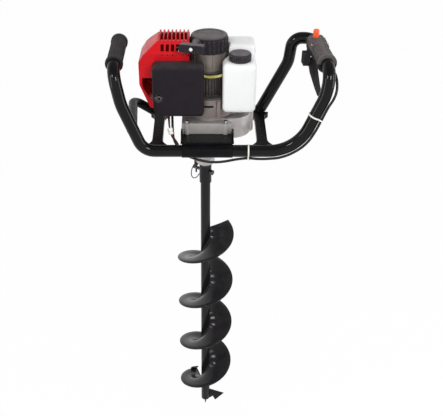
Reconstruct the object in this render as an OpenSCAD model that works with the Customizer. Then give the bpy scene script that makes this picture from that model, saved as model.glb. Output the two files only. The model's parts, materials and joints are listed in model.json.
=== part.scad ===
// Two-stroke earth auger with a handle frame. Millimetres, +Z up, origin at the bit's tip on the spin axis.
// The viewer stands on the -Y side: -X is the cylinder side, +X the tank side.

/* [Auger bit] */
// Length of the bit from its tip to the top of its collar
bit_l = 837; // [600:1:1000]
// Outer diameter of the flight
bit_d = 150; // [100:1:200]
// Rise of the flight in one turn
bit_pitch = 150; // [120:1:170]
// Turns of the flight
flight_turns = 3.8; // [2:0.05:4]
// Height of the flight's cutting edge above the tip
flight_z = 75.75; // [70:0.25:110]
// Thickness of the flight measured along the axis
flight_t = 4; // [3:0.5:6]
// Outer diameter of the pole
pole_d = 25; // [24:0.5:32]
// Outer diameter of the collar at the top of the pole
collar_d = 30.4; // [30:0.2:40]
// Length of the collar
collar_l = 46; // [36:1:70]
// Diameter of the cross pin that locks the bit to the shaft
cross_pin_d = 8; // [6:0.5:9]
// Length of the cross pin under its head
cross_pin_l = 52; // [50:1:60]
// Height of the solid hub of the pilot tip
hub_h = 54; // [52:1:64]
// Length of the pilot point under the hub
point_l = 22; // [16:1:24]
// Reach of the cutting wing from the axis
wing_l = 57; // [46:1:70]
// Thickness of the cutting wing
wing_t = 4; // [3:0.5:6]

/* [Output shaft] */
// Diameter of the output shaft
shaft_d = 20; // [16:0.5:21]
// Gap between the collar and the gear case nose
coupling_gap = 9; // [5:1:20]

/* [Gear case] */
// Height of the lower casting from its nose to the tray
lower_case_h = 103; // [96:1:120]
// Height of the upper casting
upper_case_h = 38; // [38:0.5:60]
// Wall of the castings
case_wall = 4; // [3:0.5:6]
// Width of the corner bosses of the upper casting
boss_d = 17; // [14:0.5:20]
// Diameter of the case bolts
bolt_d = 6; // [5:0.5:8]
// Teeth of the input pinion and of the countershaft pinion
pinion_teeth = 10; // [10:1:12]
// Module of the first gear pair
module_1 = 1.5; // [1.4:0.05:1.55]
// Module of the second gear pair
module_2 = 2; // [1.9:0.05:2.05]
// Face width of the output gear
output_gear_w = 11; // [9:0.5:11]
// Face width of the countershaft gear
counter_gear_w = 9; // [7:0.5:9]

/* [Engine] */
// Outer diameter of the fan housing
fan_d = 124; // [118:1:130]
// Height of the fan housing
fan_h = 44; // [42:0.5:60]
// Outer diameter of the crankcase
crankcase_d = 88; // [86:0.5:92]
// Height of the crankcase
crankcase_h = 59; // [56:0.5:70]
// Outer diameter of the starter body
starter_d = 82; // [76:0.5:84]
// Height of the starter body
starter_h = 41; // [36:0.5:60]
// Outer diameter of the starter cap over its ribs
cap_d = 87; // [84:0.5:92]
// Height of the starter cap
cap_h = 37; // [34:0.5:50]
// Cylinder bore
bore_d = 44; // [40:0.5:45]
// Piston stroke
stroke = 34; // [30:0.5:35]
// Distance between the eyes of the connecting rod
rod_l = 60; // [58:0.5:66]
// Wall of the red cylinder cover
cover_wall = 2.5; // [2:0.1:4]
// Wall of the muffler guard
guard_wall = 2; // [1.5:0.1:3]
// Length of the starter handle
pull_l = 56; // [48:1:80]

/* [Fuel tank] */
// Width of the tank
tank_w = 76; // [70:1:90]
// Depth of the tank
tank_depth = 132; // [120:1:150]
// Height of the front of the tank
tank_h = 118; // [100:1:130]
// Diameter of the fuel cap
fuel_cap_d = 50; // [40:0.5:56]
// Height of the fuel cap
fuel_cap_h = 18; // [14:0.5:26]

/* [Handle frame] */
// Diameter of the handlebar tube
bar_d = 28; // [25:0.5:30]
// Wall of the handlebar tube
bar_wall = 2; // [1.5:0.1:3]
// Distance of the front bar in front of the spin axis
bar_front = 110; // [105:1:140]
// Distance of the rear bar behind the spin axis
bar_rear = 72; // [68:1:90]
// Reach of the left grip's axis from the spin axis
left_reach = 201; // [195:1:215]
// Reach of the throttle grip's near end from the spin axis
right_reach = 271; // [262:1:285]
// Height of the grips' near ends above the front bar
grip_rise = 190; // [186:1:230]
// Rise of the throttle grip's bar from its near end to the rear
grip_lift = 16; // [0:1:30]
// Wall of the sleeve that joins the two handlebars
sleeve_wall = 1.6; // [1:0.1:3]
// Thickness of the mounting tray
tray_t = 4; // [3:0.5:6]
// Height of the tray's top above the front bar
tray_drop = 7; // [5:0.5:14]
// Diameter of the brace tube
brace_d = 22; // [18:0.5:24]
// Outer diameter of the left grip
grip_d = 36; // [33:0.5:42]
// Diameter of the throttle cable
cable_d = 6; // [5:0.5:7]

/* [Hidden] */
$fn = 48;
fit = 0.05;
part_gap = 0.3;
small_gap = 0.5;

// Heights of the stack, from the bit upwards
nose_z = bit_l + coupling_gap;
tray_z0 = nose_z + lower_case_h;
tray_z1 = tray_z0 + tray_t;
case_top = tray_z1 + upper_case_h;
fan_top = case_top + fan_h;
crank_top = fan_top + crankcase_h;
starter_top = crank_top + starter_h;
cap_top = starter_top + cap_h;
crank_z = (fan_top + crank_top) / 2;
bar_z = tray_z1 - tray_drop - bar_d / 2;
grip_z = bar_z + grip_rise;

// Gear train: input pinion to countershaft gear, countershaft pinion to output gear
counter_teeth = 56;
output_teeth = 48;
counter_x = module_2 * (pinion_teeth + output_teeth) / 2;
crank_x = counter_x - module_1 * (pinion_teeth + counter_teeth) / 2;
output_gear_z = tray_z1 + 3;
counter_gear_z = output_gear_z + output_gear_w + 3;
output_cavity_r = module_2 * output_teeth / 2 + module_2 + 1.2;
counter_cavity_r = module_1 * counter_teeth / 2 + module_1 + 1.6;
bearing_h = 8;
bearing_top = case_top - 3;

// Shaft sizes and their bearings
counter_d = 12;
input_d = 15;
output_bearing_d = 42;
counter_bearing_d = 32;
input_bearing_d = 35;

function unit(v) = v / norm(v);
function arc(c, r, a0, a1, n = 6) =
    [for (i = [0:n]) c + r * [cos(a0 + (a1 - a0) * i / n), sin(a0 + (a1 - a0) * i / n)]];

// Outline of a rectangle from corner a to corner b with its own radius at each corner
// radii run from the low-low corner anticlockwise
function round_box(a, b, r) = concat(
    arc([a[0] + r[0], a[1] + r[0]], r[0], 180, 270),
    arc([b[0] - r[1], a[1] + r[1]], r[1], 270, 360),
    arc([b[0] - r[2], b[1] - r[2]], r[2], 0, 90),
    arc([a[0] + r[3], b[1] - r[3]], r[3], 90, 180));

// Ring of outer diameter d and inner diameter i, standing on z
module ring(d, i, h, z = 0) {
    translate([0, 0, z])
        linear_extrude(h)
            difference() {
                circle(d = d);
                circle(d = i);
            }
}

// Places its children so that their Z axis runs from p along direction v
module along(p, v) {
    w = unit(v);
    s = abs(w[2]) > 0.9 ? [1, 0, 0] : [0, 0, 1];
    x = unit(cross(s, w));
    y = cross(w, x);
    multmatrix([[x[0], y[0], w[0], p[0]], [x[1], y[1], w[1], p[1]], [x[2], y[2], w[2], p[2]]])
        children();
}

// Straight tube from a to b
module tube_run(a, b, d, wall) {
    along(a, b - a)
        linear_extrude(norm(b - a))
            difference() {
                circle(d = d);
                circle(d = d - 2 * wall);
            }
}

function bend_angle(p, i) = acos(unit(p[i] - p[i - 1]) * unit(p[i + 1] - p[i]));
function bend_trim(p, r, i) = r[i] * tan(bend_angle(p, i) / 2);
function run_trim(p, r, i) = i == 0 || i == len(p) - 1 ? 0 : bend_trim(p, r, i) + seam;

// Tube bent through the points p with bend radius r[i] at point i
// A hairline seam keeps each straight and each bent length a solid of its own
seam = 0.02;
module bent_tube(p, r, d, wall) {
    for (i = [0:len(p) - 2]) {
        u = unit(p[i + 1] - p[i]);
        tube_run(p[i] + u * run_trim(p, r, i), p[i + 1] - u * run_trim(p, r, i + 1), d, wall);
    }
    for (i = [1:len(p) - 2]) {
        u = unit(p[i] - p[i - 1]);
        v = unit(p[i + 1] - p[i]);
        n = unit(v - u * (u * v));
        c = p[i] - u * bend_trim(p, r, i) + n * r[i];
        z = cross(-n, u);
        multmatrix([[-n[0], u[0], z[0], c[0]], [-n[1], u[1], z[1], c[1]], [-n[2], u[2], z[2], c[2]]])
            rotate_extrude(angle = bend_angle(p, i))
                translate([r[i], 0])
                    difference() {
                        circle(d = d);
                        circle(d = d - 2 * wall);
                    }
    }
}

// Round cord of diameter d swept along the points p, with sides faces round it
module cord(p, d, sides = 8) {
    n = len(p);
    t = [for (i = [0:n - 1]) unit(p[min(i + 1, n - 1)] - p[max(i - 1, 0)])];
    ref = [for (i = [0:n - 1]) abs(t[i][2]) > 0.95 ? [1, 0, 0] : [0, 0, 1]];
    side = [for (i = [0:n - 1]) unit(cross(ref[i], t[i]))];
    up = [for (i = [0:n - 1]) cross(t[i], side[i])];
    pts = [for (i = [0:n - 1]) for (k = [0:sides - 1])
        p[i] + d / 2 * (cos(360 * k / sides) * side[i] + sin(360 * k / sides) * up[i])];
    walls = [for (i = [0:n - 2]) for (k = [0:sides - 1]) let (m = (k + 1) % sides)
        each [[i * sides + k, (i + 1) * sides + m, i * sides + m],
              [i * sides + k, (i + 1) * sides + k, (i + 1) * sides + m]]];
    caps = [for (k = [1:sides - 2])
        each [[0, k, k + 1], [(n - 1) * sides, (n - 1) * sides + k + 1, (n - 1) * sides + k]]];
    polyhedron(points = pts, faces = concat(walls, caps));
}

// Involute-like spur gear outline with 4 points to a tooth and a little backlash
module gear_outline(m, teeth) {
    rp = m * teeth / 2;
    ro = rp + 0.9 * m;
    ri = rp - 1.15 * m;
    half = 90 / teeth - 0.16 * m / rp * 180 / PI;
    tip = half - 0.9 * m * tan(25) / rp * 180 / PI;
    root = half + 1.0 * m * tan(22) / rp * 180 / PI;
    polygon([for (i = [0:teeth - 1]) let (a = 360 * i / teeth)
        each [ri * [cos(a - root), sin(a - root)], ro * [cos(a - tip), sin(a - tip)],
              ro * [cos(a + tip), sin(a + tip)], ri * [cos(a + root), sin(a + root)]]]);
}

// Auger bit
pole_bore = shaft_d + 2 * fit;
pin_z = bit_l - 15;
pin_dir = [0.815, -0.58, 0];
pin_angle = atan2(pin_dir[1], pin_dir[0]);
wing_z = hub_h - 22;
wing_turn = 5;
wing_pitch = 55;
// Angle at which the flight's lower edge starts
flight_start = 110;
steps = 24;

module pin_hole(d) {
    translate([0, 0, pin_z])
        rotate([0, 0, pin_angle])
            rotate([0, 90, 0])
                cylinder(d = d, h = 200, center = true);
}

// Pole with its welded collar, both drilled for the cross pin
module auger_tube() {
    color("#2b2b2d")
        difference() {
            union() {
                ring(pole_d, pole_bore, bit_l - hub_h, hub_h);
                ring(collar_d, pole_bore, collar_l, bit_l - collar_l);
            }
            pin_hole(cross_pin_d + 2 * fit);
        }
}

module auger_flight() {
    inner = (pole_d / 2 + fit) / cos(180 / steps);
    n = round(flight_turns * steps);
    ang = [for (i = [0:n]) flight_start + 360 * i / steps];
    pts = [for (i = [0:n]) let (z = flight_z + bit_pitch * i / steps, c = cos(ang[i]), s = sin(ang[i]))
        each [[inner * c, inner * s, z], [bit_d / 2 * c, bit_d / 2 * s, z],
              [bit_d / 2 * c, bit_d / 2 * s, z + flight_t], [inner * c, inner * s, z + flight_t]]];
    walls = [for (i = [0:n - 1]) for (k = [0:3]) let (m = (k + 1) % 4)
        each [[4 * i + k, 4 * i + 4 + m, 4 * i + m], [4 * i + k, 4 * i + 4 + k, 4 * i + 4 + m]]];
    ends = [[0, 1, 2], [0, 2, 3], [4 * n, 4 * n + 2, 4 * n + 1], [4 * n, 4 * n + 3, 4 * n + 2]];
    color("#2f3034")
        polyhedron(points = pts, faces = concat(walls, ends));
}

module pilot_tip() {
    spigot_l = 30;
    color("#2b2b2d") {
        difference() {
            union() {
                cylinder(d1 = 2, d2 = 8, h = point_l);
                translate([0, 0, point_l])
                    cylinder(d1 = pole_d - 5, d2 = pole_d, h = 3);
                translate([0, 0, point_l + 3])
                    cylinder(d = pole_d, h = hub_h - point_l - 3);
                translate([0, 0, hub_h])
                    cylinder(d = shaft_d, h = spigot_l);
            }
            cutting_wing();
        }
        cutting_wing();
    }
}

// Plate that is let into the hub and pitched like the flight
module cutting_wing() {
    rotate([0, 0, wing_turn])
        translate([0, 0, wing_z])
            rotate([wing_pitch, 0, 0])
                translate([0, 0, -wing_t / 2])
                    linear_extrude(wing_t)
                        polygon([[4, -12], [22, -4], [wing_l - 28, -16], [wing_l, 3], [4, 22]]);
}

module output_shaft() {
    color("silver")
        difference() {
            translate([0, 0, bit_l - collar_l - 4])
                cylinder(d = shaft_d, h = output_gear_z + output_gear_w - bit_l + collar_l + 4);
            pin_hole(cross_pin_d + 2 * fit);
        }
}

module coupling_pin() {
    color("#3a3a3c")
        difference() {
            translate([0, 0, pin_z])
                rotate([0, 0, pin_angle])
                    rotate([0, 90, 0]) {
                        translate([0, 0, collar_d / 2 + part_gap - cross_pin_l])
                            cylinder(d = cross_pin_d, h = cross_pin_l);
                        translate([0, 0, collar_d / 2 + part_gap])
                            cylinder(d = cross_pin_d + 6, h = 7, $fn = 6);
                    }
            translate(lynch_at)
                cylinder(d = lynch_d + 2 * fit, h = 30, center = true);
        }
}

lynch_d = 4.5;
lynch_at = [0, 0, pin_z] - unit(pin_dir) * (cross_pin_l - collar_d / 2 - 8);
ring_r = 21;
ring_wire = 2.4;
ring_z = pin_z + 13;

module lynch_pin() {
    color("#1c1c1e")
        difference() {
            translate(lynch_at)
                union() {
                    translate([0, 0, -13])
                        cylinder(d = lynch_d, h = 21);
                    translate([0, 0, 7])
                        cylinder(d = 10, h = 12);
                }
            translate([0, 0, ring_z])
                translate([lynch_at[0], lynch_at[1], 0])
                    rotate([0, 0, pin_angle])
                        rotate([90, 0, 0])
                            cylinder(d = ring_wire + 2, h = 20, center = true);
        }
}

// Wire ring that hangs from the lynch pin's head and swings about its cross hole
module lynch_ring() {
    color("#1c1c1e")
        translate([lynch_at[0], lynch_at[1], ring_z - ring_r])
            rotate([0, 0, pin_angle])
                rotate([0, 90, 0])
                    rotate_extrude()
                        translate([ring_r, 0])
                            circle(d = ring_wire);
}

// Handle frame
front_y = -bar_front;
rear_y = bar_rear;
rear_z = bar_z + 18;
rear_bar_d = bar_d - 2 * bar_wall - 2 * fit;
rear_bar_x = [-126, 116];
sleeve_x = [-54, 62];
cross_x = [-112, 132];
left_x = -left_reach;
right_x = right_reach;
// Cuts along the front bar run this far to each side
bar_cut = left_reach + right_reach;
left_run = 160;
left_lift = grip_lift * left_run / (rear_y - front_y);
left_path = [[-1, front_y, bar_z], [left_x + 59, front_y, bar_z], [left_x + 14, front_y, bar_z + 113],
    [left_x, front_y, grip_z], [left_x, front_y + left_run, grip_z + left_lift]];
left_bends = [0, 38, 150, 38, 0];
loop_z = grip_z + grip_lift;
right_path = [[1, front_y, bar_z], [right_x - 63, front_y, bar_z], [right_x - 7.2, front_y, bar_z + 134],
    [right_x, front_y, grip_z], [right_x - 18, rear_y, loop_z], [right_x - 65, rear_y, loop_z],
    [right_x - 72, rear_y, bar_z + 148], [133, rear_y, rear_z], [100, rear_y, rear_z]];
right_bends = [0, 95, 100, 38, 24, 24, 60, 24, 0];
grip_dir = unit(right_path[4] - right_path[3]);
grip_angle = atan2(-grip_dir[0], grip_dir[1]);
grip_pitch = asin(grip_dir[2]);

module left_handlebar() {
    color("#141416")
        bent_tube(left_path, left_bends, bar_d, bar_wall);
}

module right_handlebar() {
    color("#141416")
        bent_tube(right_path, right_bends, bar_d, bar_wall);
}

module rear_bar_core(gap) {
    translate([rear_bar_x[0], rear_y, rear_z])
        rotate([0, 90, 0])
            cylinder(d = rear_bar_d + 2 * gap, h = rear_bar_x[1] - rear_bar_x[0]);
}

module rear_bar() {
    color("#141416")
        tube_run([rear_bar_x[0], rear_y, rear_z], [rear_bar_x[1], rear_y, rear_z], rear_bar_d, bar_wall);
}

// Two pressed cross members, flared where they meet the bars, relieved where the bars start to bend up
// Each relief: start in X, length, rise of the bar
bend_relief = [[-140, 24, 1.8], [144, 20, 0.4]];

module cross_members() {
    flare = 20;
    run = rear_y - front_y;
    tilt = atan2(rear_z - bar_z, run);
    l = norm([run, rear_z - bar_z]);
    color("#141416")
        difference() {
            for (x = cross_x)
                translate([x, front_y, bar_z])
                    rotate([tilt, 0, 0])
                        translate([0, 0, -7])
                            linear_extrude(14)
                                polygon(concat([[-flare, 0], [flare, 0]],
                                    arc([flare + 22, 40], 30, 230, 180),
                                    arc([flare + 22, l - 40], 30, 180, 130),
                                    [[flare, l], [-flare, l]],
                                    arc([-flare - 22, l - 40], 30, 50, 0),
                                    arc([-flare - 22, 40], 30, 0, -50)));
            translate([-bar_cut, front_y, bar_z])
                rotate([0, 90, 0])
                    cylinder(d = bar_d + 2 * fit, h = 2 * bar_cut);
            for (c = bend_relief)
                translate([c[0], front_y, bar_z + c[2]])
                    rotate([0, 90, 0])
                        cylinder(d = bar_d + 2 * c[2] + 2 * part_gap, h = c[1]);
            rear_bar_core(fit);
            translate([cross_x[1], rear_y + 50 - bar_d / 2, rear_z])
                cube([100, 100, 100], center = true);
            translate([rear_bar_x[0] - 50 + fit, rear_y + 50 - brace_d / 2 - part_gap, rear_z])
                cube([100, 100, 100], center = true);
        }
}

// Brace from the end of the rear bar round to the left upright
brace_path = [[cross_x[0], rear_y, rear_z - 9], [left_x + 22, rear_y, bar_z + 51],
    [left_x + 36, front_y + 4, bar_z + 51]];

module left_brace() {
    color("#141416")
        difference() {
            bent_tube(brace_path, [0, 26, 0], brace_d, bar_wall);
            translate([rear_bar_x[0] + 50 - fit, rear_y, rear_z])
                cube([100, 100, 100], center = true);
            along(left_path[1], left_path[2] - left_path[1])
                cylinder(d = bar_d + 2 * fit, h = 200);
        }
}

// Tray with folded ears and the sleeve that takes both handlebars
tray_x = [-57, 65];
tray_rear = rear_y - rear_bar_d / 2;
sleeve_d = bar_d + 2 * sleeve_wall + 2 * fit;
case_hole_r = output_cavity_r + case_wall - 2;
lobe_hole_r = counter_cavity_r + case_wall + 1;

module mount_tray() {
    color("#1a1a1c") {
        difference() {
            union() {
                translate([tray_x[0], front_y, tray_z0])
                    cube([tray_x[1] - tray_x[0], tray_rear - front_y, tray_t]);
                for (x = [tray_x[0], tray_x[1] - tray_t])
                    translate([x, front_y + 22, tray_z0])
                        cube([tray_t, 22, tray_t + 14]);
                translate([sleeve_x[0], front_y, bar_z])
                    rotate([0, 90, 0])
                        cylinder(d = sleeve_d, h = sleeve_x[1] - sleeve_x[0]);
                translate([sleeve_x[0], front_y, bar_z])
                    cube([sleeve_x[1] - sleeve_x[0], tray_t, tray_z1 - bar_z]);
            }
            translate([-bar_cut, front_y, bar_z])
                rotate([0, 90, 0])
                    cylinder(d = bar_d + 2 * fit, h = 2 * bar_cut);
            rear_bar_core(fit);
            translate([0, 0, tray_z0 - 1])
                cylinder(r = case_hole_r, h = tray_t + 2);
            translate([counter_x, 0, tray_z0 - 1])
                cylinder(r = lobe_hole_r, h = 60);
            case_bolt_holes(bolt_d + 0.6);
        }
    }
}

// Left grip: ribbed rubber sleeve with rims and a closed end
grip_start = 36;

module left_grip() {
    way = left_path[4] - left_path[3];
    r = bar_d / 2 + fit;
    l = norm(way) + 5 - grip_start;
    ro = grip_d / 2;
    ribs = [for (i = [0:9]) let (y = 15 + 10 * i)
        each [[ro, y], [ro, y + 6], [ro - 1, y + 7], [ro - 1, y + 9]]];
    color("#222224")
        along(left_path[3] + unit(way) * grip_start, way)
            rotate_extrude()
                polygon(concat([[r, 0], [ro + 1, 0], [ro + 2, 1], [ro + 2, 7], [ro, 9]],
                    [for (p = ribs) if (p[1] < l - 16) p],
                    [[ro, l - 14], [ro + 1.6, l - 12], [ro + 1.6, l - 3], [ro - 1, l]],
                    [[0, l], [0, l - 5], [r, l - 5]]));
}

// Right throttle grip, in a frame that runs along the bar from its near bend
module at_grip() {
    translate(right_path[3])
        rotate([grip_pitch, 0, grip_angle])
            children();
}
shell_y = [39, 157];
shell_d = 38;
// The switch and trigger housing at the far end: where it starts, its half width and half height
house_y = 106;
house = [20.5, 19];
trigger_y = 138;
trigger_z = -36;
trigger_x = -6;
trigger_w = 18;
trigger_tip_w = 7;
trigger_ear = 5;
pivot_d = 5;
button_x = -3;
button_y = 145;
button_d = 14;
button_travel = 4;
button_top = 37;
button_z = bar_d / 2 + button_travel + small_gap;
grip_screw_at = [[-17, 114], [17, 114], [17, 147]];
// Seat of the screw heads, below the rounded top
screw_seat = 12.5;

module grip_body() {
    difference() {
        union() {
            translate([0, shell_y[0], 0])
                rotate([-90, 0, 0])
                    cylinder(d = shell_d, h = shell_y[1] - shell_y[0]);
            translate([0, shell_y[0], 0])
                rotate([-90, 0, 0])
                    cylinder(d = shell_d + 6, h = 7);
            translate([0, shell_y[1], 0])
                rotate([90, 0, 0])
                    linear_extrude(shell_y[1] - house_y)
                        polygon(round_box(-house, house, [12, 12, 12, 12]));
            for (i = [0:5])
                for (s = [-1, 1])
                    translate([s * (shell_d / 2 - 0.5), 58 + 8 * i, 0])
                        cube([3, 4, 16], center = true);
        }
        translate([0, shell_y[0] - 5, 0])
            rotate([-90, 0, 0])
                cylinder(d = bar_d + 2 * fit, h = 200);
    }
}

module throttle_grip_upper() {
    color("#4a4644")
        at_grip()
            difference() {
                intersection() {
                    grip_body();
                    translate([-40, 0, 0])
                        cube([80, 200, 60]);
                }
                translate([button_x, button_y, 5])
                    cylinder(d = button_d + 2 * part_gap, h = 60);
                grip_screw_holes(4.4);
                for (p = grip_screw_at)
                    translate([p[0], p[1], screw_seat])
                        cylinder(d = 8, h = 40);
            }
}

module throttle_grip_lower() {
    color("#3c3a39")
        at_grip()
            difference() {
                union() {
                    intersection() {
                        grip_body();
                        translate([-40, 0, -60])
                            cube([80, 200, 60]);
                    }
                    for (x = [-trigger_w / 2 - small_gap - trigger_ear, trigger_w / 2 + small_gap])
                        translate([trigger_x + x, trigger_y - 12, trigger_z - 9])
                            cube([trigger_ear, 24, -trigger_z + 1]);
                    translate([-32, 122, -42])
                        cube([13, 24, 28]);
                }
                translate([0, shell_y[0] - 5, 0])
                    rotate([-90, 0, 0])
                        cylinder(d = bar_d + 2 * fit, h = 200);
                translate([trigger_x, trigger_y, trigger_z])
                    rotate([0, 90, 0])
                        cylinder(d = pivot_d + 2 * fit, h = 80, center = true);
                grip_screw_holes(4.4);
            }
}

module grip_screw_holes(d) {
    for (p = grip_screw_at)
        translate([p[0], p[1], -30])
            cylinder(d = d, h = 80);
}

// Three housing screws and the trigger's pivot pin
module grip_fasteners() {
    color("silver")
        at_grip() {
            for (p = grip_screw_at)
                translate([p[0], p[1], screw_seat]) {
                    translate([0, 0, -26])
                        cylinder(d = 4.2, h = 26);
                    cylinder(d = 7, h = 2.4);
                }
            translate([trigger_x, trigger_y, trigger_z])
                rotate([0, 90, 0])
                    cylinder(d = pivot_d, h = trigger_w + 2 * (small_gap + trigger_ear), center = true);
        }
}

// Long throttle blade that narrows to its end and swings up towards the grip
module throttle_trigger() {
    w = trigger_w;
    side = [[6, 2], [-3, -7], [-20, -28], [-38, -52], [-46, -70], [-50, -78],
        [-56, -78], [-56, -68], [-47, -50], [-30, -24], [-14, 0], [-6, 6]];
    face = [[-w / 2 - 1, 8], [-w / 2 - 1, -8], [w / 2 - trigger_tip_w, -80],
        [w / 2 + 1, -80], [w / 2 + 1, 8]];
    color("#1b1b1d")
        at_grip()
            translate([trigger_x, trigger_y, trigger_z])
                difference() {
                    union() {
                        rotate([0, 90, 0])
                            cylinder(d = 15, h = w, center = true);
                        intersection() {
                            translate([w / 2, 0, 0])
                                rotate([0, -90, 0])
                                    linear_extrude(w)
                                        polygon(side);
                            translate([0, 0, -60])
                                linear_extrude(70)
                                    polygon(face);
                        }
                    }
                    rotate([0, 90, 0])
                        cylinder(d = pivot_d + 0.1, h = 2 * w, center = true);
                }
}

module stop_button() {
    color("#ff5a1e")
        at_grip()
            translate([button_x, button_y, 0])
                rotate_extrude()
                    polygon(concat([[0, button_z], [button_d / 2, button_z]],
                        arc([button_d / 2 - 3, button_top - 3], 3, 0, 90), [[0, button_top]]));
}

// Gear case
bolt_at = [[-43, -60], [47, -60], [-43, 47], [47, 47]];
lobe_bolt = [counter_x + counter_cavity_r + case_wall + 1, 0];
block_h = 26;
block_x = [-output_cavity_r - case_wall, 60];
block_y = [-64, 54];
lobe_r = counter_cavity_r + case_wall;
lobe_top = counter_gear_z + counter_gear_w + 1.5 + case_wall;
pinion_top = counter_gear_z + counter_gear_w + 0.5;
flange_t = 8;
seat_r = output_bearing_d / 2;

module case_bolt_holes(d) {
    for (p = bolt_at)
        translate([p[0], p[1], tray_z0 - 30])
            cylinder(d = d, h = 100);
}

module gear_case_upper() {
    boss_h = block_h;
    color("#a8a09c")
        difference() {
            union() {
                translate([block_x[0], block_y[0], tray_z1])
                    cube([block_x[1] - block_x[0], block_y[1] - block_y[0], block_h]);
                for (p = bolt_at)
                    translate([p[0], p[1], tray_z1])
                        cylinder(d = boss_d, h = boss_h);
                translate([counter_x, 0, tray_z0])
                    cylinder(r = lobe_r, h = lobe_top - tray_z0);
                translate([counter_x, 0, tray_z0])
                    cylinder(d = counter_bearing_d + 10, h = case_top - tray_z0 - 0.5);
                translate([crank_x, 0, tray_z1])
                    cylinder(d = 96, h = upper_case_h);
                translate([lobe_bolt[0], lobe_bolt[1], tray_z0])
                    cylinder(d = 12, h = lobe_top - tray_z0);
            }
            difference() {
                translate([block_x[0] + case_wall, block_y[0] + case_wall, tray_z0 - 1])
                    cube([block_x[1] - block_x[0] - 2 * case_wall, block_y[1] - block_y[0] - 2 * case_wall,
                        counter_gear_z - 1 - tray_z0]);
                for (p = bolt_at)
                    translate([p[0], p[1], tray_z0 - 1])
                        cylinder(d = boss_d, h = boss_h);
            }
            translate([counter_x, 0, tray_z0 - 1])
                cylinder(r = counter_cavity_r, h = pinion_top + 1.5 - tray_z0);
            translate([crank_x, 0, tray_z0])
                cylinder(d = module_1 * (pinion_teeth + 5), h = pinion_top + 0.5 - tray_z0);
            translate([crank_x, 0, bearing_top - bearing_h])
                cylinder(d = input_bearing_d + 2 * fit, h = bearing_h);
            translate([crank_x, 0, tray_z1])
                cylinder(d = input_d + 6, h = upper_case_h + 1);
            translate([counter_x, 0, bearing_top - bearing_h])
                cylinder(d = counter_bearing_d + 2 * fit, h = bearing_h);
            case_bolt_holes(bolt_d + 2 * part_gap);
            for (p = bolt_at)
                translate([p[0], p[1], tray_z1 + block_h])
                    cylinder(d = bolt_d + 6, h = upper_case_h);
            translate([lobe_bolt[0], lobe_bolt[1], tray_z0 - 1])
                cylinder(d = bolt_d + 2 * part_gap, h = 60);
        }
}

module gear_case_lower() {
    n = nose_z;
    color("#989290")
        difference() {
            union() {
                rotate_extrude()
                    polygon([[12, n], [21, n], [23, n + 4], [23, n + 16], [33, n + 26], [33, tray_z0 - 14],
                        [44.9, tray_z0 - flange_t], [44.9, tray_z1], [seat_r + fit, tray_z1],
                        [seat_r + fit, n + 26], [13, n + 26], [13, n + 12], [15 + fit, n + 12],
                        [15 + fit, n + 4], [12, n + 4]]);
                difference() {
                    union() {
                        translate([bolt_at[0][0] - 9, bolt_at[0][1] - 9, tray_z0 - flange_t])
                            cube([bolt_at[1][0] - bolt_at[0][0] + 18, bolt_at[2][1] - bolt_at[0][1] + 18,
                                flange_t]);
                        translate([counter_x, 0, tray_z0 - 14])
                            cylinder(r = lobe_r, h = 14);
                        translate([lobe_bolt[0], lobe_bolt[1], tray_z0 - 14])
                            cylinder(d = 12, h = 14);
                    }
                    translate([0, 0, tray_z0 - 20])
                        cylinder(r = 40, h = 40);
                    translate([counter_x, 0, tray_z0 - 2])
                        cylinder(r = counter_cavity_r, h = 10);
                }
            }
            translate([counter_x, 0, tray_z0 - 2 - bearing_h])
                cylinder(d = counter_bearing_d + 2 * fit, h = bearing_h + 5);
            translate([0, 0, nose_z + 27])
                cylinder(d = output_bearing_d + 2 * fit, h = 100);
            case_bolt_holes(bolt_d + 2 * part_gap);
            translate([lobe_bolt[0], lobe_bolt[1], tray_z0 - 30])
                cylinder(d = bolt_d + 2 * part_gap, h = 60);
        }
}

module case_bolts() {
    color("silver") {
        for (p = bolt_at)
            translate([p[0], p[1], tray_z0 - flange_t - 4]) {
                cylinder(d = bolt_d, h = flange_t + 4 + tray_t + block_h);
                translate([0, 0, flange_t + 4 + tray_t + block_h])
                    cylinder(d = bolt_d + 4, h = bolt_d, $fn = 6);
            }
        translate([lobe_bolt[0], lobe_bolt[1], tray_z0 - 18]) {
            cylinder(d = bolt_d, h = lobe_top - tray_z0 + 18);
            translate([0, 0, lobe_top - tray_z0 + 18])
                cylinder(d = bolt_d + 4, h = bolt_d - 1, $fn = 6);
        }
    }
}

module bearings() {
    color("silver") {
        ring(output_bearing_d, shaft_d + 2 * fit, 12, nose_z + 27);
        ring(output_bearing_d, shaft_d + 2 * fit, 12, tray_z0 - 12);
        translate([counter_x, 0, 0]) {
            ring(counter_bearing_d, counter_d + 2 * fit, bearing_h, tray_z0 - 2 - bearing_h);
            ring(counter_bearing_d, counter_d + 2 * fit, bearing_h, bearing_top - bearing_h);
        }
        translate([crank_x, 0, 0]) {
            ring(input_bearing_d, input_d + 2 * fit, bearing_h, bearing_top - bearing_h);
            ring(input_bearing_d, input_d + 2 * fit, main_bearing_h, fan_top);
            ring(input_bearing_d, input_d + 2 * fit, main_bearing_h, crank_top - main_bearing_h);
        }
    }
}

module output_seal() {
    color("#222222")
        ring(30, shaft_d + 2 * fit, 8, nose_z + 4);
}

module output_gear() {
    color("#8f8f92")
        translate([0, 0, output_gear_z])
            linear_extrude(output_gear_w)
                difference() {
                    gear_outline(module_2, output_teeth);
                    circle(d = shaft_d + 2 * fit);
                }
}

module countershaft() {
    color("#8f8f92")
        translate([counter_x, 0, 0]) {
            translate([0, 0, tray_z0 - 2 - bearing_h + small_gap])
                cylinder(d = counter_d, h = bearing_top - tray_z0 + 2 + bearing_h - 2 * small_gap);
            translate([0, 0, output_gear_z - 1])
                linear_extrude(output_gear_w + 1.5)
                    rotate(180 / pinion_teeth)
                        gear_outline(module_2, pinion_teeth);
        }
}

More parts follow.
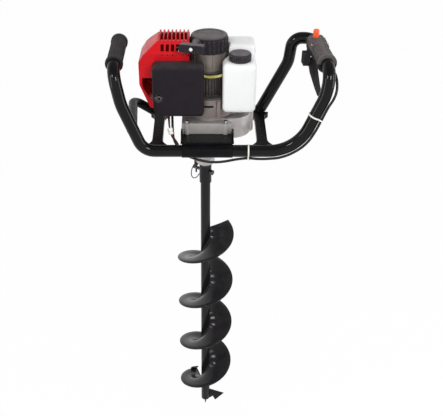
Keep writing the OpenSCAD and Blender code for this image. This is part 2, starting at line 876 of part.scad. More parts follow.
module countershaft_gear() {
    color("#8f8f92")
        translate([counter_x, 0, counter_gear_z])
            linear_extrude(counter_gear_w)
                difference() {
                    gear_outline(module_1, counter_teeth);
                    circle(d = counter_d + 2 * fit);
                }
}

drum_d = 78;
drum_z = case_top + 4;
drum_h = 18;
flywheel_z = drum_z + drum_h + 3;
flywheel_h = 13;

module input_pinion() {
    color("#8f8f92")
        translate([crank_x, 0, 0]) {
            translate([0, 0, counter_gear_z - 1])
                linear_extrude(counter_gear_w + 1.5)
                    rotate(180 / pinion_teeth)
                        gear_outline(module_1, pinion_teeth);
            translate([0, 0, pinion_top])
                cylinder(d = input_d, h = drum_z + 3 - pinion_top);
        }
}

module clutch_drum() {
    color("#77777a")
        translate([crank_x, 0, drum_z])
            difference() {
                cylinder(d = drum_d, h = drum_h);
                translate([0, 0, 3])
                    cylinder(d = drum_d - 6, h = drum_h);
                translate([0, 0, -1])
                    cylinder(d = input_d + 2 * fit, h = 10);
            }
}

module clutch_shoes() {
    ri = 15;
    ro = drum_d / 2 - 4;
    color("#55504c")
        translate([crank_x, 0, 0])
            for (s = [0, 180])
                rotate([0, 0, s]) {
                    translate([0, 0, drum_z + 5])
                        linear_extrude(drum_h - 5)
                            polygon(concat(arc([0, 0], ro, 8, 172, 16), arc([0, 0], ri, 172, 8, 10)));
                    translate([0, (ri + ro) / 2, drum_z + drum_h])
                        cylinder(d = 9, h = flywheel_z - drum_z - drum_h);
                }
}

module flywheel() {
    color("#9a9a9c")
        translate([crank_x, 0, flywheel_z])
            difference() {
                union() {
                    cylinder(d = 92, h = 8);
                    cylinder(d = 30, h = flywheel_h);
                    for (i = [0:15])
                        rotate([0, 0, 22.5 * i])
                            translate([26, -1.5, 0])
                                cube([26, 3, flywheel_h]);
                }
                translate([0, 0, -1])
                    cylinder(d = input_d + 2 * fit, h = 40);
            }
}

// Engine
web_d = 56;
web_t = 9;
web_gap = 16;
main_bearing_h = 10;
base_t = 4;
// Bosses and ribs end this far inside the faces they stand on
boss_inset = 1;

// Space kept free round the fan housing and the crankcase's base flange
module fan_clear() {
    translate([crank_x, 0, case_top])
        cylinder(d = fan_d + 2 * part_gap, h = fan_h + base_t + part_gap);
}

module fan_housing() {
    color("#aaa6a3")
        translate([crank_x, 0, case_top])
            difference() {
                union() {
                    cylinder(d = fan_d, h = fan_h);
                    for (a = [290, 70, 110])
                        rotate([0, 0, a])
                            translate([fan_d / 2, 0, boss_inset])
                                cylinder(d = 12, h = fan_h - 2 * boss_inset);
                }
                translate([0, 0, 3])
                    cylinder(d = fan_d - 8, h = fan_h);
                translate([0, 0, -1])
                    cylinder(d = drum_d + 6, h = 10);
                translate([-14, -fan_d / 2 - 4, 26])
                    cube([24, 10, 5]);
            }
}

module crankcase() {
    r = crankcase_d / 2;
    color("#4a4846")
        translate([crank_x, 0, fan_top])
            difference() {
                union() {
                    cylinder(d = fan_d, h = base_t);
                    cylinder(d = crankcase_d - 6, h = crankcase_h);
                    for (a = [190:9:350])
                        rotate([0, 0, a])
                            translate([r - 6, -1.5, base_t - boss_inset])
                                cube([6, 3, crankcase_h - 16]);
                    translate([0, 0, crankcase_h - 8])
                        cylinder(d = crankcase_d, h = 8);
                    translate([-cyl_flange, -28, crankcase_h / 2 - 26])
                        cube([cyl_flange, 56, 52]);
                }
                translate([0, 0, crankcase_h / 2 - web_gap / 2 - web_t - 1])
                    cylinder(d = crankcase_d - 11, h = web_gap + 2 * web_t + 2);
                translate([-cyl_flange - 1, 0, crankcase_h / 2])
                    rotate([0, 90, 0])
                        cylinder(d = bore_d + 1.5, h = cyl_flange + 1);
                translate([0, 0, -1])
                    cylinder(d = input_d + 4, h = 100);
                translate([0, 0, -1])
                    cylinder(d = input_bearing_d + 2 * fit, h = main_bearing_h + 1);
                translate([0, 0, crankcase_h - main_bearing_h])
                    cylinder(d = input_bearing_d + 2 * fit, h = main_bearing_h + 1);
            }
}

// Built-up crank in two halves; the crankpin stays with the connecting rod
module crankshaft() {
    low = crank_z - web_gap / 2;
    high = crank_z + web_gap / 2;
    color("#8a8a8d")
        translate([crank_x, 0, 0]) {
            translate([0, 0, drum_z + 6])
                cylinder(d = input_d, h = low - drum_z - 6);
            translate([0, 0, low - web_t])
                cylinder(d = web_d, h = web_t);
            translate([0, 0, high])
                cylinder(d = web_d, h = web_t);
            translate([0, 0, high])
                cylinder(d = input_d, h = crank_top + 14 - high);
        }
}

wrist_x = crank_x - stroke / 2 - rod_l;
crown = 20;
skirt = 10;
cyl_flange = 46;
cyl_x = crank_x - cyl_flange;
head_x = wrist_x - crown - 2;

module connecting_rod() {
    t = web_gap - 2 * part_gap;
    color("#9a9a9c")
        translate([wrist_x, 0, crank_z])
            difference() {
                union() {
                    cylinder(d = 15, h = 12, center = true);
                    translate([0, -5, -4])
                        cube([rod_l, 10, 8]);
                    translate([rod_l, 0, 0])
                        cylinder(d = 24, h = t, center = true);
                }
                cylinder(d = 10 + 2 * fit, h = 40, center = true);
            }
}

module piston() {
    color("#b5b5b8")
        translate([wrist_x, 0, crank_z]) {
            difference() {
                rotate([0, 90, 0])
                    translate([0, 0, -crown])
                        cylinder(d = bore_d, h = crown + skirt);
                rotate([0, 90, 0])
                    translate([0, 0, -crown + 6])
                        cylinder(d = bore_d - 8, h = 60);
            }
            cylinder(d = 10, h = bore_d - 7, center = true);
        }
}

module cylinder_block() {
    color("#8d8985")
        difference() {
            union() {
                translate([head_x - 8, 0, crank_z])
                    rotate([0, 90, 0])
                        cylinder(d = bore_d + 12, h = cyl_x - head_x + 8);
                for (i = [0:6])
                    translate([cyl_x - 9 - 8 * i, -fin_w / 2, crank_z - fin_w / 2])
                        cube([2.2, fin_w, fin_w]);
                translate([cyl_x - 4, -28, crank_z - 26])
                    cube([4, 56, 52]);
                translate([port_x - 15, -port_out, crank_z - 12])
                    cube([30, port_out, 24]);
                translate([port_x - 15, 0, crank_z - 12])
                    cube([30, intake_out, 24]);
            }
            translate([head_x, 0, crank_z])
                rotate([0, 90, 0])
                    cylinder(d = bore_d + 2 * fit, h = 200);
            translate([head_x - 20, 0, crank_z])
                rotate([0, 90, 0])
                    cylinder(d = plug_d + 2 * fit, h = 40);
            translate([port_x, 0, crank_z])
                rotate([90, 0, 0])
                    cylinder(d = 16, h = 200, center = true);
            fan_clear();
        }
}
port_x = cyl_x - 24;
port_out = 50;
intake_out = 62;
fin_w = 74;
plug_d = 14;

module spark_plug() {
    color("#d8d4cc")
        translate([head_x - 8, 0, crank_z])
            rotate([0, -90, 0]) {
                translate([0, 0, -6])
                    cylinder(d = plug_d, h = 6);
                cylinder(d = 19, h = 8, $fn = 6);
                translate([0, 0, 8])
                    cylinder(d = 10, h = 14);
            }
}

// Red cylinder cover: a five-sided shell, open below and towards the crankcase
cover_z0 = case_top + 9;
cover_z1 = cap_top - 9;
cover_y = [-48, 52];
cover_left = -150;
cover_right = -36;
vent_pitch = 11.5;
vent_x = -100;
comb_pitch = 9;

function cover_side(i) = [[cover_right + 4 * i, cover_z0 - 8 * i], [-100 + 0.6 * i, cover_z0 - 8 * i],
    [-128 + 0.9 * i, cover_z0 + 14], [cover_left + i, cover_z0 + 68], [cover_left + i, cover_z1 - 43],
    [cover_left + 12 + 0.8 * i, cover_z1 - 25 - 0.4 * i], [cover_left + 42 + 0.4 * i, cover_z1 - i],
    [cover_right + 4 * i, cover_z1 - i]];
function cover_end(i) = [[cover_y[0] + i, cover_z0 - 8 * i], [cover_y[1] - i, cover_z0 - 8 * i],
    [cover_y[1] - i, cover_z1 - 15], [cover_y[1] - 12 - 0.5 * i, cover_z1 - i],
    [cover_y[0] + 20 + 0.5 * i, cover_z1 - i], [cover_y[0] + i, cover_z1 - 23 - 0.3 * i]];

module cover_form(i) {
    intersection() {
        translate([0, cover_y[1] + 10, 0])
            rotate([90, 0, 0])
                linear_extrude(cover_y[1] - cover_y[0] + 20)
                    polygon(cover_side(i));
        translate([cover_left - 10, 0, 0])
            rotate([90, 0, 90])
                linear_extrude(cover_right - cover_left + 40)
                    polygon(cover_end(i));
    }
}

// Bosses inside the cover that rest on the cylinder's fins, front and rear
cover_boss = [[cover_y[0] + cover_wall / 2, -fin_w / 2 - fit],
    [fin_w / 2 + fit, cover_y[1] - cover_wall / 2]];

module cylinder_cover() {
    color("#c81e23") {
        for (y = cover_boss)
            translate([cyl_x - 40, y[1], crank_z + 28])
                rotate([90, 0, 0])
                    cylinder(d = 12, h = y[1] - y[0]);
        difference() {
            union() {
                cover_form(0);
                for (i = [0:7])
                    translate([cover_left + 46 + comb_pitch * i, cover_y[0] + 24, cover_z1 - 3])
                        rotate([90, 0, 90])
                            linear_extrude(3)
                                polygon([[0, 0], [6, 10], [20, 12], [48, 12], [62, 9], [68, 0]]);
            }
            cover_form(cover_wall);
            for (i = [0:5])
                translate([vent_x + vent_pitch * i, cover_y[0] - 5, cover_z1 - 19])
                    cube([7.5, 24, 13]);
            for (i = [0:6])
                translate([cover_left + 49.5 + comb_pitch * i, cover_y[0] + 30, cover_z1 - 10])
                    cube([5, 48, 20]);
            for (i = [0:5])
                translate([vent_x + 4 + vent_pitch * i, cover_y[0] - 1, cover_z1 - 26])
                    rotate([-90, 0, 0])
                        cylinder(r = 2.6, h = 8, $fn = 3);
            translate([0, cover_y[0] - 5, 0])
                rotate([90, 0, 0])
                    translate([0, 0, -14])
                        linear_extrude(14)
                            polygon([[-143, cover_z0 + 84], [-143, cover_z0 + 62], [-124, cover_z0 + 32],
                                [-108, cover_z0 + 32], [-108, cover_z0 + 84]]);
            translate([port_x - 16, cover_y[0] - 10, crank_z - 13])
                cube([32, 140, 26]);
            translate([hose_end[0] - 8, cover_y[1] - 10, hose_end[2] + 6])
                cube([16, 20, 24]);
            for (z = [0:3])
                translate([cover_left - 5, -22, cover_z0 + 74 + 11 * z])
                    cube([20, 48, 5]);
        }
    }
}

// Muffler in front of the cylinder and its guard
guard_x = [-119, -3];
guard_z = [cover_z0 + 5, cover_z0 + 126];
guard_y = [-86, -51];
muffler_y = [guard_y[0] + 8, -port_out];

// Guard outline seen from the front, from the side and from above, crossed into one form
module guard_form(i) {
    lo = [guard_x[0] + i, guard_y[0] + i, guard_z[0] + i];
    hi = [guard_x[1] - i, guard_y[1] + 5 * i, guard_z[1] - i];
    intersection() {
        translate([0, hi[1], 0])
            rotate([90, 0, 0])
                linear_extrude(hi[1] - lo[1])
                    polygon(round_box([lo[0], lo[2]], [hi[0], hi[2]], [26 - i, 12 - i, 14 - i, 14 - i]));
        translate([lo[0] - 1, 0, 0])
            rotate([90, 0, 90])
                linear_extrude(hi[0] - lo[0] + 2)
                    polygon(round_box([lo[1], lo[2] - 1], [hi[1], hi[2]], [10 - i, 0.5, 0.5, 15 - i]));
        translate([0, 0, lo[2] - 2])
            linear_extrude(hi[2] - lo[2] + 4)
                polygon(round_box([lo[0], lo[1]], [hi[0], hi[1]], [10 - i, 9 - i, 0.5, 0.5]));
    }
}

module muffler_guard() {
    color("#2b282c")
        difference() {
            guard_form(0);
            guard_form(guard_wall);
            translate([outlet_at[0], -60, outlet_at[1]])
                rotate([90, 0, 0])
                    cylinder(d = outlet_d + 6, h = 60);
            fan_clear();
        }
}
outlet_d = 12;
outlet_at = [guard_x[0] + 15, guard_z[0] + 45];

// Welded muffler box with its outlet pipe and the two bosses that carry the guard
module muffler() {
    color("#6d6864") {
        difference() {
            translate([0, muffler_y[1], 0])
                rotate([90, 0, 0])
                    linear_extrude(muffler_y[1] - muffler_y[0])
                        polygon(round_box([guard_x[0] + 6, guard_z[0] + 8],
                            [guard_x[1] - 14, guard_z[1] - 8], [22, 10, 10, 12]));
            fan_clear();
        }
        translate([outlet_at[0], muffler_y[0], outlet_at[1]])
            rotate([90, 0, 0])
                ring(outlet_d, outlet_d - 4, 9);
        for (z = [guard_z[0] + 30, guard_z[1] - 30])
            translate([(guard_x[0] + guard_x[1]) / 2, muffler_y[0], z])
                rotate([90, 0, 0])
                    cylinder(d = 12, h = muffler_y[0] - guard_y[0] - guard_wall);
    }
}

// Recoil starter on top of the crankcase
rope_r = 19;
rope_d = 3.5;
rope_z = starter_top + 24;
pull_at = [-29.4, -65, rope_z];
pull_rel = [pull_at[0] - crank_x, pull_at[1]];
pull_angle = atan2(pull_rel[1], pull_rel[0]) + asin(rope_r / norm(pull_rel));
pull_dir = [cos(pull_angle), sin(pull_angle), 0];
rope_run = sqrt(norm(pull_rel) * norm(pull_rel) - rope_r * rope_r);
rope_start = pull_at - pull_dir * rope_run;
post_d = 12;
pull_t = 16;

module starter_body() {
    color("#8d8480")
        translate([crank_x, 0, crank_top])
            difference() {
                union() {
                    cylinder(d = starter_d, h = starter_h);
                    for (a = [215, 250, 285, 325, 40, 140])
                        rotate([0, 0, a])
                            translate([starter_d / 2 - 3, -3, boss_inset])
                                cube([4.5, 6, starter_h - 2 * boss_inset]);
                }
                translate([0, 0, -1])
                    cylinder(d = starter_d - 7, h = starter_h + 2);
            }
}

module starter_cap() {
    ro = cap_d / 2 - 1.5;
    h = cap_h;
    color("#1f1f21")
        difference() {
            union() {
                translate([crank_x, 0, starter_top])
                    rotate_extrude()
                        polygon(concat([[ro - 3, 0], [ro, 0], [ro, h - 6]], arc([ro - 6, h - 6], 6, 0, 90),
                            [[ro - 10, h], [ro - 12, h - 2], [0, h - 2], [0, 8], [post_d / 2, 8]],
                            [[post_d / 2, h - 5], [ro - 3, h - 5]]));
                for (a = [0:15:345])
                    translate([crank_x, 0, starter_top])
                        rotate([0, 0, a])
                            translate([ro - 1, -1.5, 0])
                                cube([2.5, 3, h - 8]);
                along(rope_start + pull_dir * 38, pull_dir)
                    cylinder(d1 = 22, d2 = 13, h = rope_run - 38 - pull_t / 2 - small_gap);
            }
            along(rope_start, pull_dir)
                cylinder(d = rope_d + 1, h = 100);
            translate([crank_x, 0, starter_top + 4])
                difference() {
                    cylinder(r = ro - 3, h = cap_h - 9);
                    translate([0, 0, -1])
                        cylinder(d = post_d, h = cap_h);
                }
        }
}

module starter_pulley() {
    color("#e4e0d8")
        translate([crank_x, 0, rope_z])
            rotate_extrude()
                polygon([[post_d / 2 + fit, -7], [26, -7], [26, -4], [rope_r - rope_d / 2 - 0.2, -3],
                    [rope_r - rope_d / 2 - 0.2, 3], [26, 4], [26, 6], [post_d / 2 + fit, 6]]);
}

module starter_rope() {
    color("#f2f0ea")
        along(rope_start, pull_dir)
            cylinder(d = rope_d, h = rope_run + pull_t / 2 - 1);
}

module starter_handle() {
    color("#161618")
        translate(pull_at)
            rotate([0, 0, pull_angle])
                difference() {
                    hull()
                        for (s = [-1, 1])
                            for (z = [-1, 1])
                                translate([0, s * (pull_l / 2 - 5), z * 4])
                                    rotate([0, 90, 0])
                                        cylinder(d = 10, h = pull_t, center = true, $fn = 32);
                    rotate([0, 90, 0])
                        cylinder(d = rope_d + 1, h = 40, center = true);
                }
}

// Fuel tank round the starter side of the crankcase, with its raised back
tank_x = 38;
tank_y = -75;
tank_z = case_top + 17;
tank_r = 12;
cap_at = [tank_x + tank_w / 2 + 1, tank_y + 26];

module tank_form(i) {
    f = tank_r - i;
    hull()
        for (x = [tank_x + tank_r, tank_x + tank_w - tank_r])
            for (y = [tank_y + tank_r, tank_y + tank_depth - tank_r])
                for (z = [tank_z + tank_r, tank_z + tank_h - tank_r])
                    translate([x, y, z])
                        sphere(r = f, $fn = 24);
    hull()
        for (x = [tank_x + tank_r + 8, tank_x + tank_w - tank_r])
            for (y = [tank_y + 58 + tank_r, tank_y + tank_depth - tank_r])
                for (z = [tank_z + 60, tank_z + tank_h + 24 - tank_r])
                    translate([x, y, z])
                        sphere(r = f, $fn = 24);
}

neck = 38;

module fuel_tank() {
    color("#f3f3f1")
        difference() {
            union() {
                tank_form(0);
                translate([cap_at[0], cap_at[1], tank_z + tank_h - 8])
                    cylinder(d = neck, h = 14);
            }
            difference() {
                tank_form(2.5);
                tank_recess(2.5);
            }
            tank_recess(0);
            translate([cap_at[0], cap_at[1], tank_z + tank_h - 12])
                cylinder(d = neck - 5, h = 40);
        }
}

// Hollow in the tank that clears the engine
module tank_recess(i) {
    translate([crank_x, 0, tank_z - 20])
        cylinder(r = fan_d / 2 + 0.6 + i, h = fan_top + 4.6 + i - tank_z + 20);
    translate([crank_x, 0, tank_z - 20])
        cylinder(r = cap_d / 2 + 3 + i, h = 300);
}

module fuel_cap() {
    color("#1d1d1f")
        translate([cap_at[0], cap_at[1], tank_z + tank_h + part_gap])
            difference() {
                union() {
                    rotate_extrude()
                        polygon(concat([[0, 0], [fuel_cap_d / 2 - 1, 0]],
                            arc([fuel_cap_d / 2 - 4, fuel_cap_h - 3], 3, 0, 90), [[0, fuel_cap_h]]));
                    for (a = [0:12:348])
                        rotate([0, 0, a])
                            translate([fuel_cap_d / 2 - 2, -1.2, 1])
                                cube([2, 2.4, fuel_cap_h - 5]);
                }
                translate([0, 0, -1])
                    cylinder(d = neck + 2 * part_gap, h = 8);
            }
}

// Bracket that carries the tank on the fan housing
module tank_bracket() {
    color("#2a2a2c")
        difference() {
            translate([crank_x + 30, -34, tank_z - 5])
                cube([tank_x + tank_w - crank_x - 42, 68, 5 - part_gap + tank_r]);
            tank_form(0);
            translate([crank_x, 0, tank_z - 30])
                cylinder(r = fan_d / 2 + fit, h = 100);
        }
}

// Carburettor and air filter behind the cylinder
filter_y = [100, 134];

module carburettor() {
    color("#b9b6b1")
        difference() {
            union() {
                translate([port_x - 18, intake_out, crank_z - 18])
                    cube([36, filter_y[0] - intake_out, 36]);
                translate([port_x, intake_out + 18, crank_z + 18])
                    cylinder(d = 20, h = 10);
                translate([port_x + 18, intake_out + 18, crank_z])
                    rotate([0, 90, 0])
                        cylinder(d = 16, h = 8);
            }
            translate([port_x, 0, crank_z])
                rotate([-90, 0, 0])
                    cylinder(d = 16, h = 200);
        }
}

module air_filter_base() {
    color("#1e1e20")
        translate([port_x, filter_y[0], crank_z])
            rotate([-90, 0, 0])
                linear_extrude(8)
                    difference() {
                        polygon(round_box([-40, -40], [40, 40], [12, 12, 12, 12]));
                        circle(d = 16);
                    }
}

module air_filter_element() {
    color("#4b5a4f")
        translate([port_x, filter_y[0] + 8, crank_z])
            rotate([-90, 0, 0])
                linear_extrude(14)
                    polygon(round_box([-34, -34], [34, 34], [8, 8, 8, 8]));
}

module air_filter_cover() {
    color("#1e1e20")
        translate([port_x, 0, crank_z])
            rotate([-90, 0, 0])
                difference() {
                    translate([0, 0, filter_y[0] + 8])
                        linear_extrude(filter_y[1] - filter_y[0] - 8)
                            polygon(round_box([-40, -40], [40, 40], [12, 12, 12, 12]));
                    translate([0, 0, filter_y[0] + 7])
                        linear_extrude(filter_y[1] - filter_y[0] - 10)
                            polygon(round_box([-37, -37], [37, 37], [10, 10, 10, 10]));
                }
}

choke_at = [port_x - 18, intake_out + 22, crank_z + 6];

module choke_lever() {
    color("#202022")
        translate(choke_at)
            rotate([0, -90, 0])
                union() {
                    translate([0, 0, part_gap])
                        cylinder(d = 10, h = 4);
                    translate([0, -3, part_gap])
                        cube([24, 6, 3]);
                    translate([24, 0, part_gap])
                        cylinder(d = 8, h = 5);
                }
}

module ignition_coil() {
    color("#252527")
        translate([crank_x - 16, crankcase_d / 2 - 2, fan_top + 4])
            cube([32, fan_d / 2 - crankcase_d / 2 - 2, 26]);
}

// Cords and hoses, by points chosen along their routes
hose_end = [port_x, intake_out + 18, crank_z + 28 + part_gap];
hose_d = 6;
lead_d = 6;
wire_d = 5;
hose_path = [[tank_x - 1.4, -58, crank_top + 1], [30, -57, crank_top - 2], [15, -52, crank_top - 6],
    [2, -48.5, crank_top - 7], [-6, -46.8, crank_top - 5], [-14, -45.5, crank_top - 2],
    [-28, -41, crank_top + 8],
    [-44, -34, crank_top + 18], [-58, -18, crank_top + 25], [-62, 8, crank_top + 26],
    [-62, 34, crank_top + 20],
    hose_end + [0, -22, 18], hose_end + [0, -8, 14], hose_end + [0, -1, 7], hose_end];
lead_path = [[crank_x - 18, 50, fan_top + 22], [-22, 47, fan_top + 33], [-40, 43, fan_top + 45],
    [-60, 42, fan_top + 48], [-82, 42, fan_top + 46], [-104, 42, fan_top + 40],
    [-122, 36, fan_top + 35], [-136, 26, crank_z + 3],
    [-141, 12, crank_z + 1], [-137, 2, crank_z], [head_x - 37 - part_gap, 0, crank_z]];
wire_path = [[-84, -20, guard_z[0] + 21.3], [-85, -26, guard_z[0] + 4], [-85, -44, guard_z[0] - 10],
    [-84, -68, guard_z[0] - 18], [-82, -84, guard_z[0] - 28], [-78, -91, guard_z[0] - 42],
    [-71, -91, guard_z[0] - 54], [-65, -88, guard_z[0] - 66], [-63, -81, guard_z[0] - 79]];
cable_path = [[280.4, -70, grip_z - 10.6], [284, -80, grip_z - 14], [286.5, -93, grip_z - 21],
    [287, -105, grip_z - 31], [285.5, -115, grip_z - 43], [280, -121, bar_z + 132],
    [270, -122, bar_z + 113], [258, -122, bar_z + 84], [245, -122, bar_z + 53], [228, -122, bar_z + 25],
    [205, -122, bar_z + 5], [173, -122, bar_z - 10], [145, -120, bar_z - 15], [120, -115, bar_z - 18],
    [98, -112, bar_z - 18], [70, -112, bar_z - 21], [45, -114, bar_z - 25], [22, -116, bar_z - 26],
    [0, -116, bar_z - 24], [-22, -110, bar_z - 21], [-44, -96, bar_z - 18], [-62, -76, bar_z - 10],
    [-74, -52, bar_z], [-78, -24, bar_z + 10], [-80, 8, bar_z + 24], [-82, 38, bar_z + 38],
    [-86, 62, bar_z + 58], [-92, 74, bar_z + 88], [-94, 80, bar_z + 108], [-90, 80, crank_z - 10],
    [port_x - 18 - part_gap, 80, crank_z - 8]];

module fuel_hose() {
    color("#c9cc7a")
        cord(hose_path, hose_d);
}

// Rubber boot over the plug's terminal
module plug_boot() {
    translate([head_x - 8, 0, crank_z])
            rotate([0, -90, 0])
                difference() {
                    translate([0, 0, 10])
                        cylinder(d = 16, h = 19);
                    translate([0, 0, 9])
                        cylinder(d = 10 + 2 * fit, h = 13 + part_gap);
                }
}

module ignition_lead() {
    color("#151515") {
        cord(lead_path, lead_d);
        plug_boot();
    }
}

// Stop-switch wires in one sleeve, with their plug connector
module stop_wires() {
    color("#4a1518") {
        cord(wire_path, wire_d);
        along(wire_path[4], wire_path[5] - wire_path[4])
            ring(11, wire_d + 1, 14);
    }
}

module throttle_cable() {
    color("#101012")
        cord(cable_path, cable_d);
}

// Plastic ties that hold the cable to the bar: one under the front bar, one round the right upright
module cable_ties() {
    color("#ecebe8") {
        translate([98 - tie_w / 2, front_y, bar_z])
            rotate([0, 90, 0])
                rotate([0, 0, atan2(-2, 18)])
                    cable_tie();
        along(tie_foot, right_path[2] - right_path[1])
            rotate([0, 0, tie_turn])
                cable_tie();
    }
}
tie_w = 3.2;
tie_foot = right_path[1] + unit(right_path[2] - right_path[1]) * 92;
tie_turn = 48;

module cable_tie() {
    t = 1.6;
    linear_extrude(tie_w)
        difference() {
            tie_loop(bar_d / 2 + t, cable_d / 2 + t, 18.5);
            tie_loop(bar_d / 2 + fit, cable_d / 2 + part_gap, 18.5);
        }
}

// Outline round the bar and the cable beside it, reach mm away
module tie_loop(r, c, reach) {
    circle(r = r);
    translate([reach, 0])
        circle(r = c);
    translate([0, -c])
        square([reach, 2 * c]);
}

auger_tube();
auger_flight();
pilot_tip();
coupling_pin();
lynch_pin();
lynch_ring();
output_shaft();
output_gear();
countershaft();
countershaft_gear();
input_pinion();
clutch_drum();
clutch_shoes();
flywheel();
gear_case_upper();
gear_case_lower();
case_bolts();
bearings();
output_seal();
left_handlebar();
right_handlebar();
rear_bar();
cross_members();
left_brace();
mount_tray();
left_grip();
throttle_grip_upper();
throttle_grip_lower();
grip_fasteners();
throttle_trigger();
stop_button();
fan_housing();
crankcase();
crankshaft();
connecting_rod();
piston();
cylinder_block();
spark_plug();
cylinder_cover();
muffler();
muffler_guard();
starter_body();
starter_cap();
starter_pulley();
starter_rope();
starter_handle();
fuel_tank();
fuel_cap();
tank_bracket();
carburettor();
air_filter_base();
air_filter_element();
air_filter_cover();
choke_lever();
ignition_coil();
ignition_lead();
fuel_hose();
stop_wires();
throttle_cable();
cable_ties();
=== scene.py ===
import json
import math

import bmesh
import bpy
from mathutils import Matrix, Vector


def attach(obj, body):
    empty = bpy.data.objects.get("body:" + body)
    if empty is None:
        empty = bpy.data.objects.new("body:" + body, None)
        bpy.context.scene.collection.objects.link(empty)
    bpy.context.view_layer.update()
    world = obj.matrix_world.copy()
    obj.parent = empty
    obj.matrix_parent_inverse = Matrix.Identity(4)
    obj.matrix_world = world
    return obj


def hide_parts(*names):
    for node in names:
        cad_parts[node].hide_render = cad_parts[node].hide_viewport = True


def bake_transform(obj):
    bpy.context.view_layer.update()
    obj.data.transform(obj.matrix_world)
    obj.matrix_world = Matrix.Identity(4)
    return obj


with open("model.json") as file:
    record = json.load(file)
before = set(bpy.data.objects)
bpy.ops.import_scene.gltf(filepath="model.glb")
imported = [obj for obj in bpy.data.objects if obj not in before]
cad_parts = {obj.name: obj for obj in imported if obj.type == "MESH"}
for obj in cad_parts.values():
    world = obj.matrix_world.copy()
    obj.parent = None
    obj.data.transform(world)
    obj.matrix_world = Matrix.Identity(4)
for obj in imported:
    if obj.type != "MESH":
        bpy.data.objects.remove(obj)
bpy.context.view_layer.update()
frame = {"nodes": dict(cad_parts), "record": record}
NODES = frame["nodes"]
SLOT_OF = {p["node"]: p["material_slot"] for p in frame["record"]["subparts"]}

bl_info = {
    "name": "Earth Auger Dress",
    "version": (1, 0, 0),
    "blender": (4, 5, 0),
    "location": "View3D > Sidebar > Auger",
    "description": "Dresses the solids of a one-person earth auger with finishes, cords and small details",
    "category": "Object",
}


# Settings

# Width of the camera's sensor in millimetres, and the image's width, focal length and shift in pixels
SENSOR_W = 36
IMAGE_W = 443
FOCAL_PX = 700
SHIFT_PX = 16


def tone(name, rgb, what):
    """A colour setting from three numbers between 0 and 255 as they look on screen."""
    lin = [c / 255 / 12.92 if c / 255 <= 0.04045 else ((c / 255 + 0.055) / 1.055) ** 2.4 for c in rgb]
    return bpy.props.FloatVectorProperty(
        name=name, description=what, subtype="COLOR", size=3, min=0, max=1, default=lin)


def length(name, metres, what):
    """A length setting in metres."""
    return bpy.props.FloatProperty(name=name, description=what, default=metres, unit="LENGTH", precision=4)


def number(name, value, what, subtype="NONE"):
    """A setting that is a plain number."""
    return bpy.props.FloatProperty(name=name, description=what, subtype=subtype, default=value)


class AugerColours(bpy.types.PropertyGroup):
    """Paints, plastics and metals."""
    frame_black: tone("Frame black", (11, 10, 12), "Gloss paint of the handle frame and the tray")
    frame_worn: tone("Frame worn", (84, 80, 80), "Thin paint along the edges of the frame")
    bit_paint: tone("Bit paint", (19, 18, 21), "Satin paint of the drill bit")
    bit_rub: tone("Bit rub", (128, 122, 122), "Paint rubbed grey on the upper faces of the flight")
    cover_red: tone("Cover red", (212, 22, 32), "Moulded cylinder cover")
    # Cover edge is a painted highlight along the edges of the cover and of the stop button.
    cover_edge_highlight: tone("Cover edge", (232, 92, 90), "Lighter edges of the cylinder cover")
    guard: tone("Guard charcoal", (31, 27, 32), "Moulded muffler guard")
    plastic: tone("Black plastic", (36, 34, 38), "Starter cap, fuel cap and other black mouldings")
    # Plastic edge is a painted highlight along the edges and ribs of the black mouldings, the guard and the
    # grips.
    plastic_edge_highlight: tone("Plastic edge", (128, 124, 128), "Scuffed edges of the black mouldings")
    grip: tone("Throttle grip", (78, 72, 71), "Warm grey plastic of the throttle grip")
    rubber: tone("Rubber", (31, 28, 31), "Left grip")
    button: tone("Stop button", (255, 94, 36), "Orange stop button")
    tank: tone("Tank white", (246, 246, 245), "Translucent fuel tank")
    case: tone("Case aluminium", (190, 185, 183), "Cast gear case")
    engine: tone("Engine aluminium", (138, 127, 122), "Starter body and other engine castings")
    crankcase: tone("Crankcase grey", (66, 61, 57), "Dark ribbed crankcase")
    steel: tone("Steel", (190, 190, 192), "Bright steel pieces")
    dark_steel: tone("Dark steel", (70, 69, 70), "Blackened pins and bolts")
    hose: tone("Hose", (204, 201, 112), "Yellow fuel hose")
    rope: tone("Rope", (236, 233, 224), "White starter rope")
    wire_red: tone("Red wire", (112, 16, 24), "Red stop wire")
    cord_black: tone("Cord black", (22, 21, 22), "Throttle cable and ignition lead")
    # This film colour is dust, and also the painted light on the lit tops of the black mouldings.
    dust_and_top_light: tone("Dust", (168, 162, 162), "Dust on faces that look up")


class AugerSizes(bpy.types.PropertyGroup):
    """Sizes of the pieces that are built here."""
    flight_r: length("Flight radius", 0.075, "Outer radius of the flight")
    flight_in: length("Flight bore", 0.01261, "Inner radius of the flight, on the pole")
    flight_t: length("Flight thickness", 0.004, "Thickness of the flight along the axis")
    flight_z: length("Flight start", 0.07575, "Height of the flight's lower end")
    pitch: length("Flight pitch", 0.150, "Rise of the flight in one turn")
    turns: number("Turns", 91 / 24, "Turns of the flight")
    start: number("Start", math.radians(110), "Angle of the flight's lower edge", "ANGLE")
    bar_d: length("Handlebar", 0.028, "Diameter of the handlebar tube")
    brace_d: length("Brace", 0.022, "Diameter of the left brace")
    weld_r: length("Weld bead", 0.0024, "Radius of the weld beads")
    cable_d: length("Cable", 0.006, "Diameter of the throttle cable")
    hose_d: length("Hose", 0.006, "Diameter of the fuel hose")
    lead_d: length("Lead", 0.006, "Diameter of the ignition lead")
    wire_d: length("Wire", 0.0028, "Diameter of each stop wire")
    rope_d: length("Rope", 0.0035, "Diameter of the starter rope")
    tank_soft: length("Tank softness", 0.0019, "Mesh size of the blow-moulded tank")


